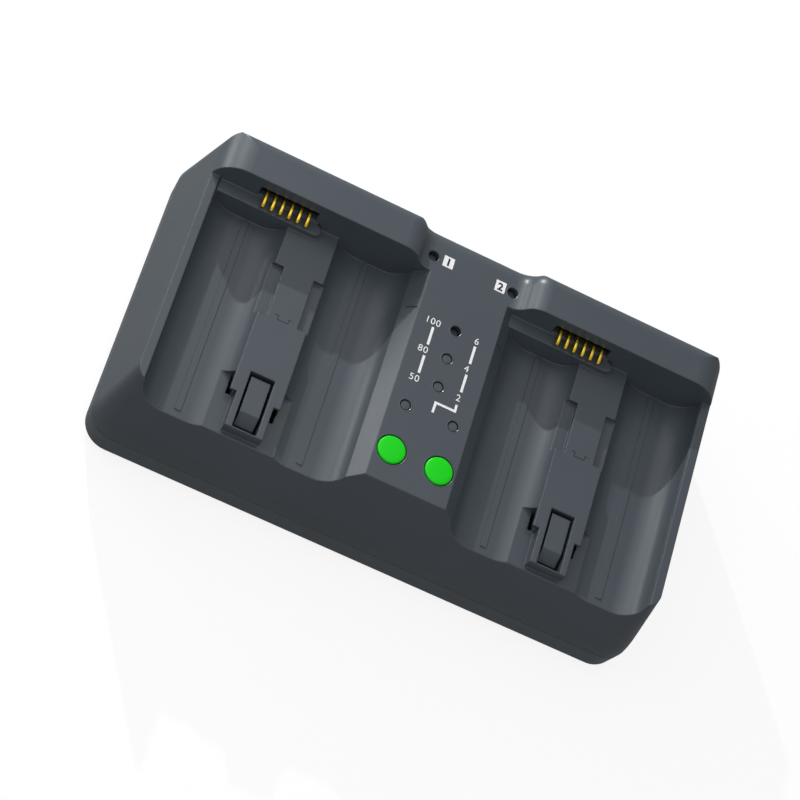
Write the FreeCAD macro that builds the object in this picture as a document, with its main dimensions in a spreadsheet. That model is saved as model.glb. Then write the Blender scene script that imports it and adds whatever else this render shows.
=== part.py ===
import FreeCAD, Part

import math
import os
import re

import Sketcher

# A desktop charger for two camera batteries.
# X runs from left to right, Y from front to back, Z up. The origin is the middle of the rubber
# feet's contact plane. Millimetres. Sizes named "height" count from the underside of the case.

SIZES = {
    # case outside
    "case_width": 161.0,
    "case_depth": 88.8,
    "case_wall": 2.2,
    "corner_radius": 8.2,
    "corner_tighten": 0.13,
    "seam_height": 9.0,
    "seam_gap": 0.35,
    "rim_step": 0.2,
    "base_draft": 3.5,
    "base_edge": 1.2,
    "side_lean": 9.1,
    "rear_lean": 8.9,
    "front_lean": 15.9,
    "front_bulge": 30.0,
    "console_half": 11.7,
    "wall_drop": 1.9,
    "wall_inset": 7.0,
    "wall_edge": 0.4,
    "block_cap": 3.5,
    "block_depth": 18.0,
    "block_lean": 4.0,
    "block_rear_round": 4.0,
    "dip_round_reach": 4.95,
    "dip_round_drop": 4.6,
    "block_end_round": 8.8,
    "step_margin": 0.6,
    "step_rise": 5.2,
    "step_foot_round": 4.6,
    "step_top_round": 6.0,
    "step_slope": 58.0,
    # bays
    "floor_height": 27.7,
    "trough_round": 7.6,
    "trough_start": 14.3,
    "trough_lift": 2.2,
    "shoulder_run": 3.8,
    "shoulder_drop": 3.6,
    "tick_start": 0.4,
    "tick_run": 2.4,
    "tick_width": 0.4,
    "tick_depth": 0.4,
    "tick_inset": 59.6,
    # raised guide rail in each bay
    "rail_rise": 4.9,
    "rail_half": 7.1,
    "rail_draft": 0.1,
    "rail_lip": 0.5,
    "notch_depth": 1.5,
    "notch_inner": 4.4,
    "notch_length": 15.8,
    "notch_inset": 14.9,
    "rail_nose_half": 5.3,
    "rail_nose_start": 7.1,
    "window_half": 3.5,
    "window_length": 17.0,
    "window_inset": 6.1,
    "landing_rise": 1.1,
    "landing_half": 10.6,
    "landing_run": 5.8,
    "rib_inset": 4.5,
    "rib_width": 0.5,
    "rib_rise": 0.2,
    "rib_run": 6.4,
    # openings beside the catch
    "recess_start": 1.55,
    "undercut_depth": 1.3,
    "undercut_skin": 0.9,
    "hook_hole_root": 5.6,
    "hook_hole_width": 1.5,
    "hook_hole_start": 7.1,
    "hook_hole_length": 2.6,
    # contacts
    "contact_pitch": 2.54,
    "contact_offset": -9.8,
    "slit_length": 17.0,
    "slit_rise": 2.8,
    "slit_tall": 3.5,
    "blade_thickness": 0.8,
    "blade_fit": 0.05,
    "blade_reach": 3.4,
    "blade_rise": 0.1,
    "blade_tall": 2.2,
    "blade_tail": 1.2,
    "carrier_thick": 3.6,
    "carrier_margin": 1.5,
    "carrier_leg": 2.2,
    "carrier_fit": 0.2,
    "ledge_drop": 0.8,
    "ledge_reach": 3.7,
    "ledge_end": -0.2,
    "ledge_end_radius": 1.6,
    "ledge_root": 1.5,
    # keys
    "key_offset": 6.93,
    "key_inset": 16.5,
    "key_radius": 4.1,
    "key_gap": 0.2,
    "key_rise": 0.9,
    "key_edge": 0.7,
    "key_travel": 0.7,
    "key_flange": 0.8,
    "key_rim": 0.9,
    "key_stem": 2.0,
    "key_stem_length": 0.2,
    "key_play": 0.2,
    "switch_width": 6.0,
    "switch_tall": 3.5,
    "plunger_radius": 1.6,
    "plunger_sink": 0.9,
    # lights
    "lens_radius": 1.5,
    "lens_gap": 0.14,
    "lens_recess": 0.25,
    "lens_deep_recess": 1.9,
    "lens_collar": 0.5,
    "lens_collar_tall": 0.7,
    "diode_width": 2.8,
    "diode_tall": 1.2,
    "status_offset": 7.04,
    "status_run": 13.95,
    "level_pitch": 8.95,
    "level_run": 32.0,
    "bay_light_margin": 0.37,
    "bay_light_run": 5.3,
    # latch in each rail
    "latch_width": 5.5,
    "latch_sink": 0.6,
    "latch_thick": 1.5,
    "latch_eye": 1.7,
    "latch_pin_inset": 2.1,
    "latch_pin_drop": 2.1,
    "latch_pin_radius": 0.8,
    "latch_pin_fit": 0.05,
    "latch_pin_grip": 1.3,
    "latch_ramp": 3.4,
    "latch_nose_gap": 2.0,
    "latch_ramp_drop": 2.3,
    "spring_width": 2.0,
    "spring_wire": 0.4,
    # boards
    "board_thick": 1.6,
    "boss_rise": 2.0,
    "board_side_room": 16.5,
    "board_end_room": 12.4,
    "boss_radius": 3.0,
    "upper_board_side_room": 1.8,
    "upper_board_inset": 8.8,
    "upper_board_margin": 2.93,
    "upper_board_head_depth": 5.2,
    "riser_width": 15.0,
    "riser_run": 17.9,
    "hanger_radius": 1.9,
    "hanger_front_run": 6.9,
    "hanger_rear_run": 7.45,
    # mains inlet, at the back of the case
    "inlet_width": 20.0,
    "inlet_tall": 12.4,
    "inlet_depth": 15.0,
    "inlet_stand_tall": 5.2,
    "inlet_sink": 1.5,
    "inlet_fit": 0.15,
    "inlet_stand_depth": 5.0,
    "well_radius": 3.9,
    "well_depth": 10.8,
    "well_waist": 6.4,
    "inlet_pin_offset": 4.3,
    "inlet_pin_radius": 1.2,
    "inlet_pin_sink": 0.8,
    "inlet_pin_tail": 1.6,
    # posts, screws and feet
    "post_side_inset": 9.5,
    "post_end_inset": 9.8,
    "post_radius": 3.2,
    "web_thick": 1.8,
    "web_start": 6.0,
    "screw_radius": 1.4,
    "screw_fit": 0.05,
    "screw_length": 12.0,
    "screw_head_radius": 2.7,
    "screw_head_tall": 1.8,
    "screw_head_sink": 1.2,
    "screw_drive": 3.0,
    "screw_drive_width": 0.7,
    "screw_drive_depth": 0.6,
    "foot_side_inset": 23.5,
    "foot_end_inset": 11.4,
    "foot_radius": 5.0,
    "foot_draft": 0.5,
    "foot_fit": 0.1,
    "foot_proud": 0.8,
    "foot_sink": 1.0,
    # transformer
    "core_side": 30.0,
    "core_run": 38.0,
    "core_width": 26.0,
    "core_depth": 20.0,
    "core_tall": 16.0,
    "core_limb": 7.0,
    "core_yoke": 2.5,
    "core_leg": 3.5,
    "winding_gap": 0.3,
    "winding_bulge": 3.5,
    # other parts on the main board
    "bulk_radius": 8.0,
    "bulk_tall": 16.0,
    "bulk_side": 34.0,
    "bulk_end": 16.0,
    "output_radius": 5.0,
    "output_tall": 14.0,
    "output_side": 10.0,
    "output_run": 18.0,
    "output_pitch": 12.0,
    "choke_radius": 5.6,
    "choke_ring": 2.6,
    "choke_edge": 1.1,
    "choke_side": 16.0,
    "choke_end": 16.0,
    "fuse_radius": 2.6,
    "fuse_length": 20.0,
    "fuse_side": 32.0,
    "fuse_run": 26.0,
    "sink_width": 36.0,
    "sink_tall": 16.0,
    "sink_plate": 2.0,
    "sink_side": 34.0,
    "sink_run": 17.0,
    "fin_reach": 5.9,
    "fin_thick": 1.2,
    "transistor_width": 10.0,
    "transistor_thick": 4.4,
    "transistor_tall": 15.0,
    "rectifier_width": 14.0,
    "rectifier_thick": 6.0,
    "rectifier_tall": 12.0,
    "rectifier_side": 14.0,
    "rectifier_run": 26.0,
}

# Places that follow from the sizes. Y places in the front half count from the case's front edge,
# those at the blocks from its rear edge, and heights rise from the bay's floor to the block's top.
PLACES = {
    "rail_height": "floor_height + rail_rise",
    "slit_low": "rail_height + slit_rise",
    "slit_high": "slit_low + slit_tall",
    "block_height": "slit_high + block_cap",
    "console_height": "block_height - step_rise",
    "wall_height": "console_height - wall_drop",
    "block_foot": "case_depth / 2 - block_depth",
    "bay_inner": "console_half + shoulder_run",
    "shoulder_rise": "trough_round - trough_lift",
    "shoulder_foot": "floor_height + shoulder_rise",
    "tick_place": "tick_inset - case_depth / 2",
    "bay_outer": "case_width / 2 - wall_inset",
    "bay_middle": "(bay_inner + bay_outer) / 2",
    "bay_half": "(bay_outer - bay_inner) / 2",
    "step_start": "console_half + step_margin",
    "notch_height": "rail_height - notch_depth",
    "notch_rear": "block_foot - notch_inset",
    "notch_front": "notch_rear - notch_length",
    "window_front": "window_inset - case_depth / 2",
    "window_rear": "window_front + window_length",
    "rail_nose_rear": "window_rear - rail_nose_start",
    "landing_height": "floor_height + landing_rise",
    "landing_rear": "landing_run - case_depth / 2",
    "rib_offset": "bay_half - trough_round - rib_inset",
    "rib_front": "rib_run - case_depth / 2",
    "recess_rear": "window_rear - recess_start",
    "hook_hole_rear": "window_rear - hook_hole_start",
    "blade_front": "block_foot - blade_reach",
    "blade_low": "slit_low + blade_rise",
    "blade_high": "blade_low + blade_tall",
    "ledge_height": "slit_low - ledge_drop",
    "key_place": "key_inset - case_depth / 2",
    "key_under": "console_height - case_wall - 0.1",
    "status_place": "key_place + status_run",
    "level_place": "key_place + level_run",
    "bay_light_offset": "console_half + bay_light_margin",
    "bay_light_place": "block_foot + bay_light_run",
    "latch_top": "rail_height - latch_sink",
    "latch_pin_place": "window_rear - latch_pin_inset",
    "latch_pin_height": "latch_top - latch_pin_drop",
    "latch_nose": "window_front + latch_nose_gap",
    "latch_crease": "latch_nose + latch_ramp",
    "latch_nose_height": "latch_top - latch_ramp_drop",
    "board_height": "case_wall + boss_rise",
    "board_top": "board_height + board_thick",
    "board_width": "case_width - 2 * board_side_room",
    "board_depth": "case_depth - 2 * board_end_room",
    "board_left": "-board_width / 2",
    "board_right": "board_width / 2",
    "board_front": "-board_depth / 2",
    "board_rear": "board_depth / 2",
    "stem_low": "key_under - key_flange - key_stem_length",
    "switch_top": "stem_low - key_travel - key_play",
    "upper_board_top": "switch_top - switch_tall",
    "upper_board_height": "upper_board_top - board_thick",
    "upper_board_width": "2 * (bay_inner - case_wall - upper_board_side_room)",
    "upper_board_front": "upper_board_inset - case_depth / 2",
    "upper_board_head": "2 * (bay_light_offset + upper_board_margin)",
    "riser_place": "key_place + riser_run",
    "hanger_front": "key_place + hanger_front_run",
    "hanger_rear": "level_place + level_pitch + hanger_rear_run",
    "inlet_low": "board_top + inlet_stand_tall",
    "inlet_height": "inlet_low + inlet_tall / 2",
    "post_x": "case_width / 2 - post_side_inset",
    "post_y": "case_depth / 2 - post_end_inset",
    "foot_x": "case_width / 2 - foot_side_inset",
    "foot_y": "case_depth / 2 - foot_end_inset",
}
FIN_COUNT = 8
BLADE_COUNT = 6

DOC = FreeCAD.newDocument("battery_charger")
SHEET = DOC.addObject("Spreadsheet::Sheet", "Sizes")
for row, (alias, number) in enumerate(SIZES.items(), start=1):
    SHEET.set("A%d" % row, alias.replace("_", " "))
    SHEET.set("B%d" % row, str(number))
    SHEET.setAlias("B%d" % row, alias)
DOC.recompute()

NODES = []
SIDES = ((-1, "left"), (1, "right"))


def sized(text):
    """The expression with each place spelt out and each size's name led by its sheet."""
    def spell(match):
        word = match[0]
        if word in PLACES:
            return "(%s)" % sized(PLACES[word])
        return "Sizes." + word if word in SIZES else word
    return re.sub(r"[a-z][a-z_]*", spell, str(text))


def amount(text):
    """The number that an expression gives at the present sizes."""
    result = SHEET.evalExpression(sized(text))
    return float(getattr(result, "Value", result))


def bind(thing, **expressions):
    """Ties properties to expressions of the sizes."""
    for name, text in expressions.items():
        thing.setExpression(name, sized(text))
    return thing


def place(thing, x="0", y="0", z="0"):
    """Puts a leaf shape in the frame; z counts from the underside of the case."""
    thing.setExpression("Placement.Base.x", sized(x))
    thing.setExpression("Placement.Base.y", sized(y))
    thing.setExpression("Placement.Base.z", sized("foot_proud + (%s)" % z))
    return thing


def keep(thing, label):
    """Names a finished sub-part and lists it for export."""
    thing.Label = label
    NODES.append(thing)
    return thing


# Primitives and booleans


def box(name, size, x, y, z):
    """A box; x and y give its middle, z its underside."""
    solid = DOC.addObject("Part::Box", name)
    wide, deep, tall = size
    bind(solid, Length=wide, Width=deep, Height=tall)
    return place(solid, "(%s) - (%s) / 2" % (x, wide), "(%s) - (%s) / 2" % (y, deep), z)


def rod(name, radius, height, x, y, z, axis=None):
    """A cylinder from its start point along Z, or along another axis vector."""
    solid = DOC.addObject("Part::Cylinder", name)
    bind(solid, Radius=radius, Height=height)
    if axis:
        solid.Placement.Rotation = FreeCAD.Rotation(FreeCAD.Vector(0, 0, 1), FreeCAD.Vector(*axis))
    return place(solid, x, y, z)


def cut(name, base, tools):
    tool = tools[0] if len(tools) == 1 else fuse(name + "_tools", tools)
    solid = DOC.addObject("Part::Cut", name)
    solid.Base = base
    solid.Tool = tool
    return solid


def fuse(name, parts):
    solid = DOC.addObject("Part::MultiFuse", name)
    solid.Shapes = parts
    solid.Refine = True
    return solid


def group(name, parts):
    """Separate identical solids kept as one sub-part."""
    solid = DOC.addObject("Part::Compound", name)
    solid.Links = parts
    return solid


# Sketch and feature helpers


def new_body(name):
    body = DOC.addObject("PartDesign::Body", name)
    return place(body)


def sketch_on(body, name, role, offset="0"):
    """A sketch on one of the body's origin planes, moved along the plane's normal."""
    plane = next(f for f in body.Origin.OriginFeatures if f.Role == role)
    sketch = body.newObject("Sketcher::SketchObject", name)
    sketch.AttachmentSupport = [(plane, "")]
    sketch.MapMode = "FlatFace"
    sketch.setExpression("AttachmentOffset.Base.z", sized(offset))
    return sketch


def outline(sketch, corners, arcs=None):
    """A closed outline through corners given as expressions.

    arcs maps a corner's number to (radius, turn): the side that leaves that corner is an arc,
    turn 1 for counter-clockwise travel and -1 for clockwise.
    """
    arcs = arcs or {}
    first = sketch.GeometryCount
    spots = [FreeCAD.Vector(amount(x), amount(y), 0) for x, y in corners]
    count = len(spots)
    ends = []
    for i in range(count):
        a, b = spots[i], spots[(i + 1) % count]
        if i not in arcs:
            sketch.addGeometry(Part.LineSegment(a, b), False)
            ends.append((1, 2))
            continue
        radius, turn = amount(arcs[i][0]), arcs[i][1]
        half = (b - a) * 0.5
        reach = math.sqrt(max(radius ** 2 - half.Length ** 2, 0.0))
        side = FreeCAD.Vector(-half.y, half.x, 0).normalize() * reach * turn
        centre = a + half + side
        start, end = (a, b) if turn > 0 else (b, a)
        angles = [math.atan2(p.y - centre.y, p.x - centre.x) for p in (start, end)]
        if angles[1] < angles[0]:
            angles[1] += 2 * math.pi
        circle = Part.Circle(centre, FreeCAD.Vector(0, 0, 1), radius)
        sketch.addGeometry(Part.ArcOfCircle(circle, *angles), False)
        ends.append((1, 2) if turn > 0 else (2, 1))
    for i, (x, y) in enumerate(corners):
        edge, following = first + i, first + (i + 1) % count
        sketch.addConstraint(
            Sketcher.Constraint("Coincident", edge, ends[i][1], following, ends[(i + 1) % count][0]))
        for kind, text, value in (("DistanceX", x, spots[i].x), ("DistanceY", y, spots[i].y)):
            number = sketch.addConstraint(
                Sketcher.Constraint(kind, -1, 1, edge, ends[i][0], value))
            sketch.setExpression("Constraints[%d]" % number, sized(text))
        if i in arcs:
            number = sketch.addConstraint(Sketcher.Constraint("Radius", edge, amount(arcs[i][0])))
            sketch.setExpression("Constraints[%d]" % number, sized(arcs[i][0]))
    return sketch


def disc(sketch, x, y, radius):
    """A circle whose centre and radius are expressions."""
    centre = FreeCAD.Vector(amount(x), amount(y), 0)
    circle = Part.Circle(centre, FreeCAD.Vector(0, 0, 1), amount(radius))
    edge = sketch.addGeometry(circle, False)
    for kind, text, value in (("DistanceX", x, centre.x), ("DistanceY", y, centre.y)):
        number = sketch.addConstraint(Sketcher.Constraint(kind, -1, 1, edge, 3, value))
        sketch.setExpression("Constraints[%d]" % number, sized(text))
    number = sketch.addConstraint(Sketcher.Constraint("Radius", edge, amount(radius)))
    sketch.setExpression("Constraints[%d]" % number, sized(radius))
    return sketch


def rectangle(sketch, x0, y0, x1, y1):
    return outline(sketch, [(x0, y0), (x1, y0), (x1, y1), (x0, y1)])


def pad(body, sketch, length, both=False, reverse=False, taper=None):
    feature = body.newObject("PartDesign::Pad", sketch.Name + "_pad")
    feature.Profile = sketch
    feature.SideType = "Symmetric" if both else "One side"
    feature.Reversed = reverse
    bind(feature, Length=length)
    if taper:
        bind(feature, TaperAngle=taper)
    DOC.recompute()
    return feature


def pocket(body, sketch, length=None, both=False, reverse=False):
    """Cuts the sketch through the body, or to a depth, and checks that it took something."""
    before = body.Tip.Shape.Volume
    feature = body.newObject("PartDesign::Pocket", sketch.Name + "_pocket")
    feature.Profile = sketch
    feature.SideType = "Symmetric" if both else "One side"
    feature.Reversed = reverse
    if length:
        bind(feature, Length=length)
    else:
        feature.Type = "ThroughAll"
    DOC.recompute()
    if feature.Shape.Volume > before - 0.01:
        raise RuntimeError("%s cut nothing" % feature.Name)
    return feature


def pocket_to_face(body, sketch, matches):
    """Cuts the sketch up to the flat face that the test picks."""
    before = body.Tip.Shape.Volume
    base = body.Tip
    faces = ["Face%d" % (i + 1) for i, face in enumerate(base.Shape.Faces) if matches(face)]
    feature = body.newObject("PartDesign::Pocket", sketch.Name + "_pocket")
    feature.Profile = sketch
    feature.Type = "UpToFace"
    feature.UpToFace = (base, faces[:1])
    DOC.recompute()
    if feature.Shape.Volume > before - 0.01:
        raise RuntimeError("%s cut nothing" % feature.Name)
    return feature


def chamfer(body, size, matches):
    base = body.Tip
    edges = ["Edge%d" % (i + 1) for i, edge in enumerate(base.Shape.Edges) if matches(edge)]
    feature = body.newObject("PartDesign::Chamfer", body.Name + "_chamfer")
    feature.Base = (base, edges)
    bind(feature, Size=size)
    DOC.recompute()
    return feature


# The case form, used twice: for the outside and, set in by the wall, for the hollow


def tangent(lean):
    return "tan(%s * 1 deg)" % lean


# Each of these gives an expression for a place on the outside of the upper case
BULGE_RUN = "(front_bulge * (1 - cos(front_lean * 1 deg)))"
BULGE_RISE = "(front_bulge * sin(front_lean * 1 deg))"


def front_at(height):
    """The straight part of the front, above its bulge."""
    return "(-case_depth / 2 + %s + ((%s) - seam_height - %s) * %s)" % (
        BULGE_RUN, height, BULGE_RISE, tangent("front_lean"))


def bulge_at(share):
    """The height and place of the front where the bulge has run a share of its rise."""
    rise = "(%s * %s)" % (BULGE_RISE, share)
    place_y = "(-case_depth / 2 + front_bulge - sqrt(front_bulge ^ 2 - %s ^ 2))" % rise
    return "(seam_height + %s)" % rise, place_y


def rear_at(height):
    return "(case_depth / 2 - ((%s) - seam_height) * %s)" % (height, tangent("rear_lean"))


def side_at(height):
    return "(case_width / 2 - ((%s) - seam_height) * %s)" % (height, tangent("side_lean"))


def block_face_at(height):
    return "(block_foot + ((%s) - floor_height) * %s)" % (height, tangent("block_lean"))


def round_reach(radius, lean):
    """How far a round between a level top and a leaning wall reaches from their corner."""
    return "(%s * tan((90 - %s) / 2 * 1 deg))" % (radius, lean)


def plan_section(body, name, height, front, inset):
    """A level section of the case: a rectangle whose round corners tighten with the height."""
    sketch = sketch_on(body, name, "XY_Plane", height)
    radius = "(corner_radius - (%s - seam_height) * corner_tighten - %s * 0.8)" % (height, inset)
    x = "(%s - %s)" % (side_at(height), inset)
    y0 = "(%s + %s)" % (front, inset)
    y1 = "(%s - %s)" % (rear_at(height), inset)
    corners = [
        ("-%s + %s" % (x, radius), y0), ("%s - %s" % (x, radius), y0),
        (x, "%s + %s" % (y0, radius)), (x, "%s - %s" % (y1, radius)),
        ("%s - %s" % (x, radius), y1), ("-%s + %s" % (x, radius), y1),
        ("-" + x, "%s - %s" % (y1, radius)), ("-" + x, "%s + %s" % (y0, radius)),
    ]
    return outline(sketch, corners, {i: (radius, 1) for i in (1, 3, 5, 7)})


def loft(body, sections, ruled, kind="AdditiveLoft"):
    feature = body.newObject("PartDesign::" + kind, sections[0].Name + "_loft")
    feature.Profile = sections[0]
    feature.Sections = sections[1:]
    feature.Ruled = ruled
    DOC.recompute()
    return feature


def case_form(name, inset, bay_outline):
    """The upper case as a solid, every face moved inwards by the inset."""
    body = new_body(name)
    top = "(block_height - %s)" % inset
    deck = "(console_height - %s)" % inset

    sections = []
    for i in range(4):
        height, front = bulge_at("%d / 3" % i)
        sections.append(plan_section(body, "%s_section_%d" % (name, i), height, front, inset))
    loft(body, sections, ruled=False)
    height = bulge_at("1")[0]
    upper = [plan_section(body, name + "_upper_start", height, front_at(height), inset),
             plan_section(body, name + "_upper_end", top, front_at(top), inset)]
    loft(body, upper, ruled=True)

    side = sketch_on(body, name + "_side", "YZ_Plane")
    outline(side, [
        ("-case_depth / 2 - 1", deck),
        ("%s + %s" % (block_face_at(deck), inset), deck),
        ("%s + %s" % (block_face_at(top), inset), top),
        ("%s + %s" % (block_face_at(top), inset), top + " + 1"),
        ("-case_depth / 2 - 1", top + " + 1"),
    ])
    pocket(body, side, both=True)

    rear = sketch_on(body, name + "_rear", "YZ_Plane")
    reach = round_reach("block_rear_round", "rear_lean")
    low = "(%s - %s * cos(rear_lean * 1 deg))" % (top, reach)
    outline(rear, [
        ("case_depth / 2 + 1", low),
        ("case_depth / 2 + 1", top + " + 1"),
        ("%s - %s - %s" % (rear_at(top), inset, reach), top + " + 1"),
        ("%s - %s - %s" % (rear_at(top), inset, reach), top),
        ("%s - %s" % (rear_at(low), inset), low),
    ], {3: ("block_rear_round", -1)})
    pocket(body, rear, both=True)

    ends = sketch_on(body, name + "_ends", "XZ_Plane")
    turn = "(block_end_round - %s)" % inset
    reach = round_reach(turn, "side_lean")
    low = "(%s - %s * cos(side_lean * 1 deg))" % (top, reach)
    for sign in (1, -1):
        crest = "%d * (%s - %s - %s)" % (sign, side_at(top), inset, reach)
        outline(ends, [
            ("%d * (%s - %s)" % (sign, side_at(low), inset), low),
            (crest, top),
            (crest, top + " + 1"),
            ("%d * (case_width / 2 + 1)" % sign, top + " + 1"),
            ("%d * (case_width / 2 + 1)" % sign, low),
        ], {0: (turn, sign)})
    pocket(body, ends, both=True)

    gap = sketch_on(body, name + "_gap", "XZ_Plane")
    outline(gap, *step_outline(inset, top, deck))
    pocket(body, gap, both=True)

    for sign in (-1, 1):
        bay = sketch_on(body, "%s_bay_%s" % (name, "left" if sign < 0 else "right"), "XZ_Plane",
                        "case_depth / 2 + 5")
        outline(bay, *bay_outline(sign))
        pocket_to_face(body, bay, is_block_face)
    return body


def round_dip(body):
    """Rounds the rear edge of the dip between the blocks, and of the dip's flanks."""
    start = "(%s - %s)" % (rear_at("block_height"), round_reach("block_rear_round", "rear_lean"))
    sections = []
    for angle in (0, 20, 40, 60, 80):
        drop = "(dip_round_drop * (1 - cos(%d deg)))" % angle
        behind = "(%s + dip_round_reach * sin(%d deg))" % (start, angle)
        sketch = sketch_on(body, "dip_round_%d" % angle, "XZ_Plane", "-" + behind)
        sections.append(outline(sketch, *step_outline(
            drop, "(block_height - %s)" % drop, "(console_height - %s)" % drop)))
    return loft(body, sections, ruled=False, kind="SubtractiveLoft")


def is_block_face(face):
    """Whether a face is the leaning front of the rear blocks."""
    if face.Surface.TypeId != "Part::GeomPlane":
        return False
    normal = face.normalAt(0, 0)
    middle = face.CenterOfMass
    return normal.y < -0.9 and 0.05 < normal.z < 0.5 and middle.y > amount("block_foot") - 2


def step_outline(inset, top, deck):
    """The section of the dip between the two rear blocks, with its curved flanks."""
    slope = "step_slope * 1 deg"
    foot = "(step_foot_round + %s)" % inset
    crest = "(step_top_round - %s)" % inset
    foot_run = "%s * sin(%s)" % (foot, slope)
    foot_rise = "%s * (1 - cos(%s))" % (foot, slope)
    crest_run = "%s * sin(%s)" % (crest, slope)
    crest_rise = "%s * (1 - cos(%s))" % (crest, slope)
    rise = "(%s - %s)" % (top, deck)
    flank_rise = "(%s - %s - %s)" % (rise, foot_rise, crest_rise)
    flank_run = "%s / tan(%s)" % (flank_rise, slope)
    start = "step_start"
    foot_end = "(%s + %s)" % (start, foot_run)
    crest_start = "(%s + %s)" % (foot_end, flank_run)
    crest_end = "(%s + %s)" % (crest_start, crest_run)
    right = [
        (start, deck),
        (foot_end, "%s + %s" % (deck, foot_rise)),
        (crest_start, "%s - %s" % (top, crest_rise)),
        (crest_end, top),
        (crest_end, "%s + 1" % top),
    ]
    left = [("-(%s)" % x, z) for x, z in reversed(right)]
    return right + left, {0: (foot, 1), 2: (crest, -1), 6: (crest, -1), 8: (foot, 1)}


def bay_section(sign):
    """The section of one bay: wall top, curved troughs beside the rail, shoulder of the console."""
    middle = "(%d * bay_middle)" % sign

    def across(offset):
        return "%s + %d * (%s)" % (middle, sign, offset)
    lip = "rail_height - rail_lip"
    corners = [
        (across("case_width / 2"), "wall_height"),
        (across("bay_half + wall_edge"), "wall_height"),
        (across("bay_half"), "wall_height - wall_edge"),
        (across("bay_half"), "floor_height + trough_round"),
        (across("bay_half - trough_round"), "floor_height"),
        (across("trough_start"), "floor_height"),
        (across("rail_half + rail_draft"), lip),
        (across("rail_half"), "rail_height"),
        (across("-rail_half"), "rail_height"),
        (across("-rail_half - rail_draft"), lip),
        (across("-trough_start"), "floor_height"),
        (across("trough_round - bay_half"), "floor_height"),
        (across("-bay_half"), "shoulder_foot"),
        ("%d * console_half" % sign, "console_height"),
        ("%d * console_half" % sign, "block_height + 2"),
        (across("case_width / 2"), "block_height + 2"),
    ]
    return corners


def rounded_rise(run, rise):
    """The radius of a curve that leaves a level floor and gains the rise within the run."""
    return "(((%s) ^ 2 + (%s) ^ 2) / (2 * (%s)))" % (run, rise, rise)


def outer_bay(sign):
    flank = (rounded_rise("trough_start - rail_half - rail_draft", "rail_rise - rail_lip"), -sign)
    # the curve at the shoulder ends a little short of upright
    shoulder = (rounded_rise("trough_round", "shoulder_rise"), -sign)
    return bay_section(sign), {3: ("trough_round", -sign), 5: flank, 9: flank, 11: shoulder}


def inner_bay(sign):
    """The hollow stays under the bay's floor and inside the console."""
    half = "(bay_inner - case_wall)"
    floor = "floor_height - case_wall"
    ceiling = "console_height - case_wall"
    corners = [
        ("%d * (case_width / 2 + 1)" % sign, floor),
        ("%d * %s" % (sign, half), floor),
        ("%d * %s" % (sign, half), ceiling + " - shoulder_drop"),
        ("%d * (console_half - case_wall)" % sign, ceiling),
        ("%d * (console_half - case_wall)" % sign, "block_height + 2"),
        ("%d * (case_width / 2 + 1)" % sign, "block_height + 2"),
    ]
    return corners, {}


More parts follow.
